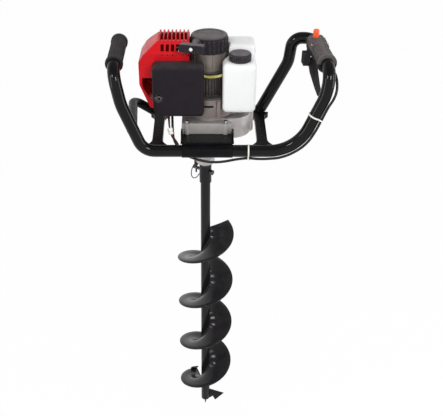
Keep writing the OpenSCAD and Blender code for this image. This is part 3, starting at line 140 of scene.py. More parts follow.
class AugerStage(bpy.types.PropertyGroup):
    """Camera, floor and lamps."""
    eye: bpy.props.FloatVectorProperty(
        name="Camera", description="Place of the camera", subtype="TRANSLATION", unit="LENGTH",
        default=(0, -1.547, 1.659))
    tilt: number("Tilt", math.radians(58.5), "Angle of the camera from straight down", "ANGLE")
    lens: number("Lens", SENSOR_W * FOCAL_PX / IMAGE_W, "Focal length in millimetres")
    shift: number("Shift", SHIFT_PX / IMAGE_W, "Sideways shift of the lens")
    floor: tone("Floor", (246, 246, 246), "Pale floor and backdrop")
    key: number("Key", 26, "Power of the main lamp", "POWER")
    fill: number("Fill", 13, "Power of each of the other lamps", "POWER")
    sky: number("Sky", 0.55, "Strength of the even light all round")
    roof: number("Roof", 0.3, "Strength of the dim roof that gloss shows")


def colours():
    return bpy.context.scene.auger_colours


def sizes():
    return bpy.context.scene.auger_sizes


# Shader groups

def group_of(name, ins, outs):
    """A new shader node group with its sockets, and its input and output nodes."""
    g = bpy.data.node_groups.new(name, "ShaderNodeTree")
    kinds = {"f": "NodeSocketFloat", "c": "NodeSocketColor", "v": "NodeSocketVector"}
    for label, kind, value in ins:
        s = g.interface.new_socket(label, in_out="INPUT", socket_type=kinds[kind])
        s.default_value = value
    for label, kind in outs:
        g.interface.new_socket(label, in_out="OUTPUT", socket_type=kinds[kind])
    return g, g.nodes.new("NodeGroupInput").outputs, g.nodes.new("NodeGroupOutput").inputs


def put(tree, kind, settings=None, **links):
    """A new node with its settings; a socket is named with _ for a space, or by its place, as in i0."""
    n = tree.nodes.new("ShaderNode" + kind)
    for key, value in (settings or {}).items():
        setattr(n, key, value)
    for key, value in links.items():
        by_place = key[0] == "i" and key[1:].isdigit()
        socket = n.inputs[int(key[1:]) if by_place else key.replace("_", " ")]
        if isinstance(value, bpy.types.NodeSocket):
            tree.links.new(value, socket)
        else:
            socket.default_value = value
    return n


def place(tree):
    """Coordinates in metres on the object."""
    return put(tree, "TexCoord").outputs["Object"]


def times(tree, a, b, clamp=False):
    """The product of two values."""
    return put(tree, "Math", {"operation": "MULTIPLY", "use_clamp": clamp}, i0=a, i1=b).outputs[0]


def mixed(tree, share, a, b):
    """A colour between a and b."""
    return put(tree, "Mix", {"data_type": "RGBA"}, i0=share, i6=a, i7=b).outputs[2]


def make_grain():
    """Fine surface grain and slow changes of shade."""
    g, i, o = group_of(
        "surface_grain", [("Scale", "f", 900), ("Depth", "f", 0.2)], [("Height", "f"), ("Shade", "f")])
    at = place(g)
    fine = put(g, "TexNoise", Vector=at, Scale=i["Scale"], Detail=3.0, Roughness=0.6)
    slow = times(g, i["Scale"], 0.035)
    wide = put(g, "TexNoise", Vector=at, Scale=slow, Detail=4.0)
    shade = put(g, "MapRange", Value=wide.outputs["Fac"], From_Min=0.3, From_Max=0.7)
    g.links.new(times(g, fine.outputs["Fac"], i["Depth"]), o["Height"])
    g.links.new(shade.outputs["Result"], o["Shade"])


def make_edge_wear_and_highlight():
    """Rounded normals at edges and a mask of the edges, broken up by noise; the mask paints worn edges on the
    frame and the metals, and a painted highlight along plastic edges and the crankcase's ribs.
    """
    g, i, o = group_of(
        "edge_wear_and_highlight", [("Radius", "f", 0.001), ("Amount", "f", 0.4)], [("Mask", "f"), ("Normal", "v")])
    soft = put(g, "Bevel", {"samples": 4}, Radius=i["Radius"])
    flat = put(g, "NewGeometry").outputs["Normal"]
    dot = put(g, "VectorMath", {"operation": "DOT_PRODUCT"}, i0=soft.outputs[0], i1=flat)
    edge = put(g, "MapRange", {"clamp": True}, Value=dot.outputs["Value"], From_Min=0.985, From_Max=0.80)
    patch = put(g, "TexNoise", Vector=place(g), Scale=160.0, Detail=3.0)
    some = put(g, "MapRange", {"clamp": True}, Value=patch.outputs["Fac"],
               From_Min=0.35, From_Max=0.65, To_Min=0.25)
    both = times(g, edge.outputs["Result"], some.outputs["Result"])
    g.links.new(times(g, both, i["Amount"], True), o["Mask"])
    g.links.new(soft.outputs[0], o["Normal"])


def make_dust_and_lit_tops():
    """A film on faces that look up, thicker in patches: dust, and also painted light where it greys the lit
    tops of the black mouldings.
    """
    g, i, o = group_of(
        "dust_and_lit_tops",
        [("Colour", "c", (0, 0, 0, 1)), ("Film", "c", (0.3, 0.3, 0.3, 1)), ("Amount", "f", 0.1)],
        [("Colour", "c"), ("Mask", "f")])
    up = put(g, "SeparateXYZ", Vector=put(g, "NewGeometry").outputs["Normal"])
    facing = put(g, "MapRange", {"clamp": True}, Value=up.outputs["Z"], From_Min=0.35, From_Max=1.0)
    patch = put(g, "TexNoise", Vector=place(g), Scale=38.0, Detail=6.0, Roughness=0.65)
    some = put(g, "MapRange", {"clamp": True}, Value=patch.outputs["Fac"],
               From_Min=0.3, From_Max=0.7, To_Min=0.35)
    both = times(g, facing.outputs["Result"], some.outputs["Result"])
    mask = times(g, both, i["Amount"], True)
    g.links.new(mixed(g, mask, i["Colour"], i["Film"]), o["Colour"])
    g.links.new(mask, o["Mask"])


# Finishes

# Materials by name
FINISHES = {}


def effect(tree, name, **links):
    """One of the shader groups, placed in a material."""
    return put(tree, "Group", {"node_tree": bpy.data.node_groups[name]}, **links).outputs


def finish(name, base, vary, rough, grain, edge=None, dust_and_top_light=0.0, relief=0.0004, **plain):
    """A material whose colour drifts from base to vary times base, and its roughness between two values.

    grain is a scale and a depth, edge a radius, an amount and a colour, dust_and_top_light the amount of
    film, which is dust and, on the black mouldings, painted light on their lit tops.
    relief is the height of the grain in metres, and plain sets sockets of the shader.
    """
    m = FINISHES[name] = bpy.data.materials.new(name + "_finish")
    m.use_nodes = True
    t = m.node_tree
    t.nodes.clear()
    shader = put(t, "BsdfPrincipled", **plain)
    put(t, "OutputMaterial", Surface=shader.outputs[0])
    g = effect(t, "surface_grain", Scale=grain[0], Depth=grain[1])
    other = [min(1.0, c * vary) for c in base] + [1]
    coat = mixed(t, g["Shade"], list(base) + [1], other)
    bump = put(t, "Bump", Strength=0.7, Distance=relief, Height=g["Height"])
    if edge:
        # The edge colour is worn paint or bare metal on some finishes, and a painted highlight on the
        # plastics and the crankcase.
        e = effect(t, "edge_wear_and_highlight", Radius=edge[0], Amount=edge[1])
        coat = mixed(t, e["Mask"], coat, list(edge[2]) + [1])
        t.links.new(e["Normal"], bump.inputs["Normal"])
    spread = put(t, "MapRange", Value=g["Shade"], To_Min=rough[0], To_Max=rough[1]).outputs["Result"]
    if dust_and_top_light:
        # The film is dust, and on the black mouldings painted light on their lit tops.
        d = effect(t, "dust_and_lit_tops", Colour=coat, Film=list(colours().dust_and_top_light) + [1], Amount=dust_and_top_light)
        coat = d["Colour"]
        spread = put(t, "Math", {"operation": "MULTIPLY_ADD"}, i0=d["Mask"], i1=0.35, i2=spread).outputs[0]
    t.links.new(coat, shader.inputs["Base Color"])
    t.links.new(spread, shader.inputs["Roughness"])
    t.links.new(bump.outputs[0], shader.inputs["Normal"])


def make_finishes():
    """One material for each slot of the record, and a dull black for the welded pieces of the frame."""
    make_grain()
    make_edge_wear_and_highlight()
    make_dust_and_lit_tops()
    c = colours()
    dull = {"Specular_IOR_Level": 0.08}
    metal = {"Metallic": 1.0}
    # Black mouldings get a painted highlight along their edges and ribs.
    moulded_edge_highlight = (0.0014, 0.8, c.plastic_edge_highlight)
    finish("black_frame", c.frame_black, 1.35, (0.07, 0.11), (420, 0.015),
           (0.0010, 0.30, c.frame_worn), 0.01, Specular_IOR_Level=0.2)
    finish("bit_paint", c.bit_paint, 1.3, (0.12, 0.20), (520, 0.04),
           (0.0010, 0.5, c.bit_rub), 0.05, Specular_IOR_Level=0.22)
    finish("pin_steel", c.dark_steel, 1.3, (0.34, 0.46), (900, 0.3), (0.0005, 0.4, c.steel), **metal)
    finish("shaft_steel", c.steel, 0.8, (0.26, 0.36), (1100, 0.2), (0.0005, 0.3, c.steel), **metal)
    finish("bright_steel", c.steel, 0.9, (0.22, 0.32), (1200, 0.15), (0.0005, 0.3, c.steel), **metal)
    finish("lining", c.crankcase, 1.5, (0.80, 0.95), (1500, 0.8))
    finish("case_aluminium", c.case, 0.82, (0.42, 0.56), (1300, 0.7),
           (0.0012, 0.45, c.steel), 0.12, Metallic=0.55)
    finish("engine_aluminium", c.engine, 0.78, (0.40, 0.54), (1300, 0.6),
           (0.0010, 0.45, c.steel), 0.12, Metallic=0.6)
    # The rib edges get the pale case aluminium as a painted highlight.
    finish("crankcase_grey", c.crankcase, 0.65, (0.46, 0.60), (1200, 0.7),
           (0.0012, 0.9, c.case), 0.18, Metallic=0.35)
    # Painted highlight along the cover's edges.
    finish("cover_red", c.cover_red, 0.86, (0.26, 0.36), (1500, 0.12), (0.0022, 0.5, c.cover_edge_highlight),
           Specular_IOR_Level=0.14)
    # Painted highlight along the guard's edges, a light line on its top edge.
    finish("guard_charcoal", c.guard, 1.2, (0.36, 0.46), (1700, 0.35),
           (0.0026, 0.9, c.plastic_edge_highlight), 0.10, **dull)
    finish("muffler_steel", c.engine, 0.6, (0.36, 0.52), (600, 0.4), (0.0010, 0.4, c.steel), **metal)
    # Painted highlight along the edges and ribs, and a thick upward film that is mostly painted light on the
    # lit tops of the caps, with some dust.
    finish("black_plastic", c.plastic, 1.35, (0.34, 0.46), (1600, 0.3), moulded_edge_highlight, 0.46, **dull)
    # Painted highlight along the throttle grip's edges.
    finish("throttle_plastic", c.grip, 1.2, (0.46, 0.60), (1500, 0.7), (0.0010, 0.9, c.plastic_edge_highlight), 0.15,
           Specular_IOR_Level=0.3)
    # Painted highlight along the button's edges.
    finish("button_orange", c.button, 0.9, (0.26, 0.36), (1500, 0.15),
           (0.0010, 0.3, c.cover_edge_highlight), Coat_Weight=0.3)
    # Painted highlight along the connector's edges.
    finish("white_plastic", c.rope, 0.95, (0.34, 0.44), (1500, 0.2), (0.0004, 0.2, c.tank))
    finish("tank_plastic", c.tank, 0.965, (0.30, 0.40), (260, 0.25),
           Subsurface_Weight=0.35, Subsurface_Scale=0.012, Subsurface_Radius=(1.0, 0.95, 0.85))
    # Painted highlight along the rubber grip's edges.
    finish("grip_rubber", c.rubber, 1.3, (0.58, 0.74), (1900, 0.9),
           (0.0012, 0.4, c.plastic_edge_highlight), 0.08, Specular_IOR_Level=0.2)
    finish("cord_rubber", c.cord_black, 1.4, (0.40, 0.55), (1500, 0.35),
           None, 0.08, Specular_IOR_Level=0.25)
    finish("wire_sleeve", c.wire_red, 0.75, (0.32, 0.44), (1500, 0.2))
    finish("hose_plastic", c.hose, 0.85, (0.22, 0.32), (900, 0.15),
           Subsurface_Weight=0.25, Subsurface_Scale=0.003)
    finish("rope_white", c.rope, 0.88, (0.75, 0.9), (2600, 1.0), relief=0.0003)
    finish("filter_foam", c.crankcase, 0.7, (0.85, 0.98), (1100, 1.0), relief=0.001)
    finish("plug_ceramic", c.tank, 0.97, (0.10, 0.16), (1400, 0.1), Coat_Weight=0.5)
    finish("frame_dull", c.frame_black, 1.8, (0.20, 0.32), (900, 0.8), **dull)


def paint(obj, name):
    """Gives a piece the finish of that name."""
    obj.data.materials.clear()
    obj.data.materials.append(FINISHES[name])


def paint_nodes(*names):
    """Gives CAD nodes the finish of the slot that the record names."""
    for n in names:
        paint(NODES[n], SLOT_OF[n])


# Building

# Turn of the wave in a weld bead from ring to ring, and depth of a rope's grooves as a share of its radius
SCALE_STEP = 2.1
STRAND_DEPTH = 0.16

# Sides of a weld bead, and the angle from which an edge is shaded sharp
BEAD_SIDES = 8
SHARP = math.radians(50)


def add_piece(name, data, slot, body, stands_for=()):
    """A new piece with the named finish that rides on a body, hiding the CAD nodes that it stands for."""
    o = bpy.data.objects.new(name, data)
    bpy.context.scene.collection.objects.link(o)
    paint(o, slot)
    if stands_for:
        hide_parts(*stands_for)
    if body:
        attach(o, body)
    return o


def mesh_of(name, verts, faces):
    """A smooth-shaded mesh."""
    me = bpy.data.meshes.new(name)
    me.from_pydata(verts, [], faces)
    me.validate()
    me.shade_smooth()
    return me


def frames_along(points):
    """A tangent and two cross directions at each point of a line, turned as little as possible."""
    n = len(points)
    tan = [(points[min(k + 1, n - 1)] - points[max(k - 1, 0)]).normalized() for k in range(n)]
    side = tan[0].orthogonal().normalized()
    out = []
    for t in tan:
        side = (side - t * side.dot(t)).normalized()
        out.append((t, side, t.cross(side)))
    return out


def skin(rings, count, closed=False):
    """Faces between rings of count vertices each, with caps unless the line closes."""
    faces = []
    for r in range(rings if closed else rings - 1):
        a, b = r * count, ((r + 1) % rings) * count
        faces += [(a + k, a + (k + 1) % count, b + (k + 1) % count, b + k) for k in range(count)]
    if not closed:
        faces += [tuple(reversed(range(count))), tuple(range((rings - 1) * count, rings * count))]
    return faces


def tube(name, points, radius, sides=10, ripple=0.0, lobes=0, twist=0.0, closed=False):
    """A tube along points; ripple makes weld scales, lobes and twist make the strands of a rope."""
    points = [Vector(p) for p in points]
    verts = []
    run = 0.0
    for k, (p, (_, u, v)) in enumerate(zip(points, frames_along(points))):
        run += (p - points[k - 1]).length if k else 0
        for s in range(sides):
            a = 2 * math.pi * s / sides
            groove = STRAND_DEPTH * abs(math.sin(lobes * (a - twist * run) / 2)) if lobes else 0
            r = radius * (1 + ripple * math.sin(k * SCALE_STEP) - groove)
            verts.append(p + (u * math.cos(a) + v * math.sin(a)) * r)
    return mesh_of(name, verts, skin(len(points), sides, closed))


def lathe(name, profile, sides=32, hollow=False):
    """A turned solid about local Z from (radius, height) pairs, capped, or closed on itself if hollow."""
    verts = [(r * math.cos(2 * math.pi * s / sides), r * math.sin(2 * math.pi * s / sides), z)
             for r, z in profile for s in range(sides)]
    return mesh_of(name, verts, skin(len(profile), sides, hollow))


def block(name, size, edge):
    """A box with rounded edges, about its middle."""
    bm = bmesh.new()
    bmesh.ops.create_cube(bm, size=1)
    bmesh.ops.scale(bm, vec=size, verts=bm.verts)
    bmesh.ops.bevel(bm, geom=bm.edges, offset=edge, segments=3, profile=0.5, affect="EDGES")
    me = bpy.data.meshes.new(name)
    bm.to_mesh(me)
    bm.free()
    me.shade_smooth()
    return me


def joined(name, parts):
    """One mesh from (mesh, matrix) pairs."""
    bm = bmesh.new()
    for me, where in parts:
        start = len(bm.verts)
        bm.from_mesh(me)
        bm.verts.ensure_lookup_table()
        bmesh.ops.transform(bm, matrix=where, verts=bm.verts[start:])
    out = bpy.data.meshes.new(name)
    bm.to_mesh(out)
    bm.free()
    out.shade_smooth()
    return out


def towards(place, direction):
    """A matrix at place whose Z runs along direction."""
    turn = Vector(direction).to_track_quat("Z", "Y")
    return Matrix.Translation(Vector(place)) @ turn.to_matrix().to_4x4()


def mm(*points):
    """Points in millimetres as vectors in metres."""
    return [Vector(p) / 1000 for p in points]


# Cords

CABLE = mm(
    (280.4, -70, 1111.4), (284, -80, 1108), (286.5, -93, 1101), (287, -105, 1091), (285.5, -115, 1079),
    (280, -121, 1064), (270, -122, 1045), (258, -122, 1016), (245, -122, 985), (228, -122, 957),
    (205, -122, 937), (173, -122, 922), (145, -120, 917), (120, -115, 914), (98, -112, 914),
    (70, -112, 911), (45, -114, 907), (22, -116, 906), (0, -116, 908), (-22, -110, 911), (-44, -96, 914),
    (-62, -76, 922), (-74, -52, 932), (-78, -24, 942), (-80, 8, 956), (-82, 38, 970), (-86, 62, 990),
    (-92, 74, 1020), (-94, 80, 1040), (-90, 80, 1054.5), (-79.8, 80, 1056.5))
HOSE = mm(
    (36.6, -58, 1095), (30, -57, 1092), (15, -52, 1088), (2, -48.5, 1087), (-6, -46.8, 1089),
    (-14, -45.5, 1092), (-28, -41, 1102), (-44, -34, 1112), (-58, -18, 1119), (-62, 8, 1120),
    (-62, 34, 1114), (-61.5, 58, 1110.8), (-61.5, 72, 1106.8), (-61.5, 79, 1099.8), (-61.5, 80, 1092.8))
LEAD = mm(
    (-9.5, 50, 1057), (-22, 47, 1068), (-40, 43, 1080), (-60, 42, 1083), (-82, 42, 1081), (-104, 42, 1075),
    (-122, 36, 1070), (-136, 26, 1067.5), (-141, 12, 1065.5), (-137, 2, 1064.5), (-127.8, 0, 1064.5))
WIRES = mm(
    (-84, -20, 1026.3), (-85, -26, 1009), (-85, -44, 995), (-84, -68, 987), (-82, -84, 977),
    (-78, -91, 963), (-71, -91, 951), (-65, -88, 939), (-63, -81, 926))

# Turn of the two wires about each other from point to point, and their distance from the middle in diameters
WIRE_TWIST = 0.55
WIRE_APART = 0.56

# Where the connector sits between two points of the wires
CONNECTOR_POINTS = (4, 5)
CONNECTOR_AT = 0.48
# Size, edge radius, shift along the wires and shift outwards of its two halves and its latch
CONNECTOR = (
    ((0.0105, 0.0078, 0.0076), 0.0008, -0.0042, 0),
    ((0.0094, 0.0068, 0.0070), 0.0008, 0.0034, 0),
    ((0.0044, 0.0020, 0.0100), 0.0005, 0, 0.0043))

# Radius and height round the outside of the boot and back through its bore, and the place of its open end
BOOT = (
    (0.0052, 0), (0.0079, 0), (0.0082, 0.002), (0.0078, 0.004), (0.0078, 0.012), (0.0070, 0.016),
    (0.0048, 0.019), (0.0032, 0.0195), (0.0031, 0.0145), (0.0052, 0.0135))
BOOT_AT = (-0.1085, 0, 1.0645)


def lay_cord(name, points, d, slot, stands_for):
    """A round cord through the points, riding on the frame."""
    cu = bpy.data.curves.new(name, "CURVE")
    cu.dimensions = "3D"
    cu.bevel_depth = d / 2
    cu.bevel_resolution = 4
    cu.resolution_u = 6
    cu.use_fill_caps = True
    line = cu.splines.new("BEZIER")
    line.bezier_points.add(len(points) - 1)
    for p, b in zip(points, line.bezier_points):
        b.co = p
        b.handle_left_type = b.handle_right_type = "AUTO"
    o = add_piece(name, cu, slot, "frame", stands_for)
    bpy.context.view_layer.update()


class AUGER_OT_cords(bpy.types.Operator):
    """Throttle cable, fuel hose, ignition lead with its boot, and the stop wires with their connector"""
    bl_idname = "auger.cords"
    bl_label = "Cords"

    def execute(self, context):
        s = sizes()
        lay_cord("cable_line", CABLE, s.cable_d, "cord_rubber", ("throttle_cable",))
        lay_cord("hose_line", HOSE, s.hose_d, "hose_plastic", ("fuel_hose",))
        lay_cord("lead_line", LEAD, s.lead_d, "cord_rubber", ("ignition_lead",))
        pair = []
        for k, (_, u, v) in enumerate(frames_along(WIRES)):
            a = WIRE_TWIST * k
            pair.append((u * math.cos(a) + v * math.sin(a)) * s.wire_d * WIRE_APART)
        one = [p + q for p, q in zip(WIRES, pair)]
        two = [p - q for p, q in zip(WIRES, pair)]
        lay_cord("wire_one", one, s.wire_d, "wire_sleeve", ("stop_wires",))
        lay_cord("wire_two", two, s.wire_d, "cord_rubber", ())
        before, after = (WIRES[k] for k in CONNECTOR_POINTS)
        way = after - before
        at = before + way * CONNECTOR_AT
        shell = []
        for size, edge, along, out in CONNECTOR:
            where = towards(at + way.normalized() * along, way) @ Matrix.Translation((0, out, 0))
            shell.append((block("shell", size, edge), where))
        add_piece("wire_connector", joined("wire_connector", shell), "white_plastic", "frame")
        boot = lathe("lead_boot", BOOT, hollow=True)
        boot.transform(towards(BOOT_AT, (-1, 0, 0)))
        add_piece("lead_boot", boot, "cord_rubber", "frame")
        return {"FINISHED"}


# Drill bit

# Flight: steps in a turn and across, depth of the dish, rounding of the rim as a share of the thickness,
# and the share that is left at the ground edge, with the steps until the flight is full
FLIGHT_STEPS = 96
FLIGHT_ACROSS = 5
DISH = 0.0011
RIM_SHARE = 0.3
GROUND_SHARE = 0.35
GROUND_STEPS = 6

# Weld beads of the flight: steps in a turn, distance from the axis and from the flight's face,
# radius as a share of the frame's beads, and depth of the waves
WELD_STEPS = 90
WELD_AT = 0.0127
WELD_RISE = 0.0008
WELD_SHARE = 0.9
BIT_RIPPLE = 0.14

# Tooth on the flight's leading corner: size, edge, angle from the lower edge, place on the rim, and two tilts
TOOTH = (0.021, 0.0045, 0.013)
TOOTH_EDGE = 0.0008
TOOTH_TURN = math.radians(8)
TOOTH_IN = 0.0015
TOOTH_UP = 0.0062
TOOTH_PITCH = math.radians(-17)
TOOTH_LEAN = math.radians(-38)


def flight_mesh(s):
    """The helical flight: a dished strip with a rounded rim and a ground leading edge."""
    n = int(round(s.turns * FLIGHT_STEPS))
    rim = s.flight_t * RIM_SHARE
    span = s.flight_r - s.flight_in
    face = []
    for k in range(FLIGHT_ACROSS + 1):
        r = s.flight_in + span * k / FLIGHT_ACROSS - (rim if k == FLIGHT_ACROSS else 0)
        face.append((r, DISH * math.sin(math.pi * k / FLIGHT_ACROSS)))
    verts = []
    for i in range(n + 1):
        a = s.start + 2 * math.pi * i / FLIGHT_STEPS
        low = s.flight_z + s.pitch * i / FLIGHT_STEPS
        t = s.flight_t * min(1.0, GROUND_SHARE + (1 - GROUND_SHARE) * i / GROUND_STEPS)
        top = low + t
        turn_in = min(rim, t / 3)
        ring = [(r, low - dish) for r, dish in face]
        ring += [(s.flight_r, low + turn_in), (s.flight_r, top - turn_in)]
        ring += [(r, top - dish) for r, dish in reversed(face)]
        verts += [(r * math.cos(a), r * math.sin(a), z) for r, z in ring]
    me = mesh_of("flight", verts, skin(n + 1, len(ring)))
    me.set_sharp_from_angle(angle=SHARP)
    return me


class AUGER_OT_bit(bpy.types.Operator):
    """Pole, flight with its weld beads and its tooth, pilot tip and coupling pin"""
    bl_idname = "auger.bit"
    bl_label = "Drill bit"

    def execute(self, context):
        s = sizes()
        paint_nodes("auger_tube", "pilot_tip", "coupling_pin", "lynch_pin", "lynch_ring")
        add_piece("flight", flight_mesh(s), "bit_paint", "auger", ("auger_flight",))
        n = int(s.turns * WELD_STEPS)
        for name, rise in (("weld_under", -WELD_RISE), ("weld_over", s.flight_t + WELD_RISE)):
            line = []
            for i in range(2, n - 1):
                a = s.start + 2 * math.pi * i / WELD_STEPS
                z = s.flight_z + s.pitch * i / WELD_STEPS + rise
                line.append((WELD_AT * math.cos(a), WELD_AT * math.sin(a), z))
            me = tube(name, line, s.weld_r * WELD_SHARE, BEAD_SIDES, BIT_RIPPLE)
            add_piece(name, me, "bit_paint", "auger")
        up = s.flight_z + s.pitch * TOOTH_TURN / (2 * math.pi) + TOOTH_UP
        tooth = block("rim_tooth", TOOTH, TOOTH_EDGE)
        tooth.transform(Matrix.Rotation(s.start + TOOTH_TURN, 4, "Z") @
                        Matrix.Translation((s.flight_r - TOOTH_IN, 0, up)) @
                        Matrix.Rotation(math.radians(90), 4, "Z") @
                        Matrix.Rotation(TOOTH_PITCH, 4, "Y") @
                        Matrix.Rotation(TOOTH_LEAN, 4, "X"))
        add_piece("rim_tooth", tooth, "bit_paint", "auger")
        return {"FINISHED"}


# Handle frame

# Corners of each tube, and the bend radius at each corner, in millimetres
LEFT_BAR = mm(
    (-1, -110, 932), (-142, -110, 932), (-187, -110, 1045), (-201, -110, 1122), (-201, 50, 1136.07))
LEFT_BENDS = (0, 38, 150, 38, 0)
RIGHT_BAR = mm(
    (1, -110, 932), (208, -110, 932), (263.8, -110, 1066), (271, -110, 1122), (253, 72, 1138),
    (206, 72, 1138), (199, 72, 1080), (133, 72, 949.9), (100, 72, 949.9))
RIGHT_BENDS = (0, 95, 100, 38, 24, 24, 60, 24, 0)
BRACE = mm((-121, 72, 946.6), (-179, 72, 983), (-165, -106, 983))
BRACE_BENDS = (0, 26, 0)
TUBE_SIDES = 48

# Welds of the cross members in millimetres: middle, depth of the rear weld and its reach to the right
CROSS_WELDS = ((-112, 62.3, 17), (132, 59.9, 0))
CROSS_HALF = 17
CROSS_RISE = (-7, 7)
FRONT_WELD_Y = -97.8
FRONT_WELD_Z = 932.8
REAR_WELD_Z = 949.3

# Weld of the brace on the left upright in millimetres: a point and the way of each tube, and their radii
BRACE_POINT = (-168, -70, 983)
BRACE_WAY = (14, -178, 0)
BRACE_R = 11
UPRIGHT_POINT = (-142, -110, 932)
UPRIGHT_WAY = (-45, 0, 113)
UPRIGHT_R = 14

# Weld of the brace on the end of the rear bar in millimetres: middle, and half its depth and height
END_WELD = (-126.4, 72, 949.9)
END_HALF = (11.2, 13.2)

# Points round a weld, length of a step in a straight one, and depth of the waves
RING_STEPS = 72
BEAD_STEP = 0.0012
FRAME_RIPPLE = 0.13


def bent_line(points, radii):
    """The middle line of a tube that is bent round each corner with its own radius in millimetres."""
    line = [points[0]]
    for a, p, b, r in zip(points, points[1:], points[2:], radii[1:]):
        u, v = (a - p).normalized(), (b - p).normalized()
        half = u.angle(v) / 2
        middle = p + (u + v).normalized() * (r / 1000 / math.sin(half))
        arm = p + u * (r / 1000 / math.tan(half)) - middle
        turn = math.pi - 2 * half
        steps = max(4, int(math.degrees(turn) / 3))
        axis = v.cross(u)
        line += [middle + Matrix.Rotation(turn * k / steps, 3, axis) @ arm for k in range(steps + 1)]
    return line + [points[-1]]


def bead(a, b):
    """A straight weld bead between two points in millimetres."""
    a, b = mm(a, b)
    n = max(4, int((b - a).length / BEAD_STEP))
    return tube("bead", [a.lerp(b, k / n) for k in range(n + 1)], sizes().weld_r, BEAD_SIDES, FRAME_RIPPLE)


def bead_ring(line):
    """A weld bead that closes on itself."""
    return tube("bead", line, sizes().weld_r, BEAD_SIDES, FRAME_RIPPLE, closed=True)


def saddle(centre, way, r, foot, axis, big):
    """The line where a round tube of radius r meets a thicker round tube, in millimetres."""
    way, axis = Vector(way).normalized(), Vector(axis).normalized()
    u = way.orthogonal().normalized()
    v = way.cross(u)
    out = []
    for k in range(RING_STEPS):
        a = 2 * math.pi * k / RING_STEPS
        p = Vector(centre) + (u * math.cos(a) + v * math.sin(a)) * r
        rel = p - Vector(foot)
        pr = rel - axis * rel.dot(axis)
        wr = way - axis * way.dot(axis)
        qa, qb, qc = wr.dot(wr), 2 * pr.dot(wr), pr.dot(pr) - big * big
        root = math.sqrt(max(0.0, qb * qb - 4 * qa * qc))
        out.append((p + way * ((-qb - root) / (2 * qa))) / 1000)
    return out


class AUGER_OT_handle_frame(bpy.types.Operator):
    """Handlebars, rear bar, cross members, brace and tray, with the weld beads between them"""
    bl_idname = "auger.handle_frame"
    bl_label = "Handle frame"

    def execute(self, context):
        paint_nodes("rear_bar")
        for n in ("cross_members", "mount_tray"):
            paint(NODES[n], "frame_dull")
        s = sizes()
        for name, points, bends, d, slot, node in (
                ("left_bar", LEFT_BAR, LEFT_BENDS, s.bar_d, "black_frame", "left_handlebar"),
                ("right_bar", RIGHT_BAR, RIGHT_BENDS, s.bar_d, "black_frame", "right_handlebar"),
                ("brace_bar", BRACE, BRACE_BENDS, s.brace_d, "frame_dull", "left_brace")):
            me = tube(name, bent_line(points, bends), d / 2, TUBE_SIDES)
            me.set_sharp_from_angle(angle=SHARP)
            add_piece(name, me, slot, "frame", (node,))
        beads = []
        for x, back, reach in CROSS_WELDS:
            left, right = x - CROSS_HALF, x + CROSS_HALF
            for up in CROSS_RISE:
                low, high = FRONT_WELD_Z + up, REAR_WELD_Z + up
                beads.append(bead((left, FRONT_WELD_Y, low), (right, FRONT_WELD_Y, low)))
                beads.append(bead((left, back, high), (x + reach, back, high)))
        meet = saddle(BRACE_POINT, BRACE_WAY, BRACE_R, UPRIGHT_POINT, UPRIGHT_WAY, UPRIGHT_R)
        beads.append(bead_ring(meet))
        x, y, z = END_WELD
        end = []
        for k in range(RING_STEPS):
            a = 2 * math.pi * k / RING_STEPS
            end.append(Vector((x, y + END_HALF[0] * math.cos(a), z + END_HALF[1] * math.sin(a))) / 1000)
        beads.append(bead_ring(end))
        parts = [(me, Matrix.Identity(4)) for me in beads]
        add_piece("frame_welds", joined("frame_welds", parts), "frame_dull", "frame", ())
        return {"FINISHED"}


# Grips

# Frame of the throttle grip: its front end, its turn and its slope
GRIP = (Matrix.Translation((0.271, -0.110, 1.122)) @ Matrix.Rotation(math.radians(5.65), 4, "Z") @
        Matrix.Rotation(math.radians(5.0), 4, "X"))

# Pips: size and edge, then angles round the grip, places along it and distance from its middle
PIP = (0.0026, 0.0054, 0.0026)
PIP_EDGE = 0.0006
PIP_TURNS = (-62, -42, -22, 22, 42, 62)
PIP_FIRST = 0.057
PIP_STEP = 0.0075
PIP_COUNT = 6
PIP_OUT = 0.0191

# Pips on the rear end: sideways place and angle, places along the grip, and height and reach of their arc
REAR_TURNS = ((-0.0085, -40), (-0.0085, -14), (0.0085, 14), (0.0085, 40))
REAR_PLACES = (0.1215, 0.1290, 0.1365)
REAR_UP = 0.007
REAR_OUT = 0.0121


def pip_at(point, turn, out):
    """Where a pip sits: out from a point in the grip's frame, at an angle round its length."""
    return (GRIP @ Matrix.Translation(point) @ Matrix.Rotation(math.radians(turn), 4, "Y") @
            Matrix.Translation((0, 0, out)))


class AUGER_OT_grips(bpy.types.Operator):
    """Left grip, throttle grip with its raised pips, trigger, button and ties"""
    bl_idname = "auger.grips"
    bl_label = "Grips"

    def execute(self, context):
        paint_nodes("left_grip", "throttle_grip_upper", "grip_fasteners", "stop_button", "cable_ties")
        paint(NODES["throttle_grip_lower"], "grip_rubber")
        paint(NODES["throttle_trigger"], "grip_rubber")
        pip = block("pip", PIP, PIP_EDGE)
        parts = []
        for turn in PIP_TURNS:
            for k in range(PIP_COUNT):
                parts.append((pip, pip_at((0, PIP_FIRST + PIP_STEP * k, 0), turn, PIP_OUT)))
        for x, turn in REAR_TURNS:
            for y in REAR_PLACES:
                parts.append((pip, pip_at((x, y, REAR_UP), turn, REAR_OUT)))
        add_piece("grip_pips", joined("grip_pips", parts), "throttle_plastic", "frame")
        return {"FINISHED"}


# Engine

class AUGER_OT_gear_case(bpy.types.Operator):
    """Gear case halves, bolts, shafts and gears"""
    bl_idname = "auger.gear_case"
    bl_label = "Gear case"

    def execute(self, context):
        paint_nodes("gear_case_upper", "gear_case_lower", "case_bolts", "bearings", "output_seal",
                    "output_shaft", "output_gear", "countershaft", "countershaft_gear", "input_pinion",
                    "clutch_drum", "clutch_shoes")
        return {"FINISHED"}


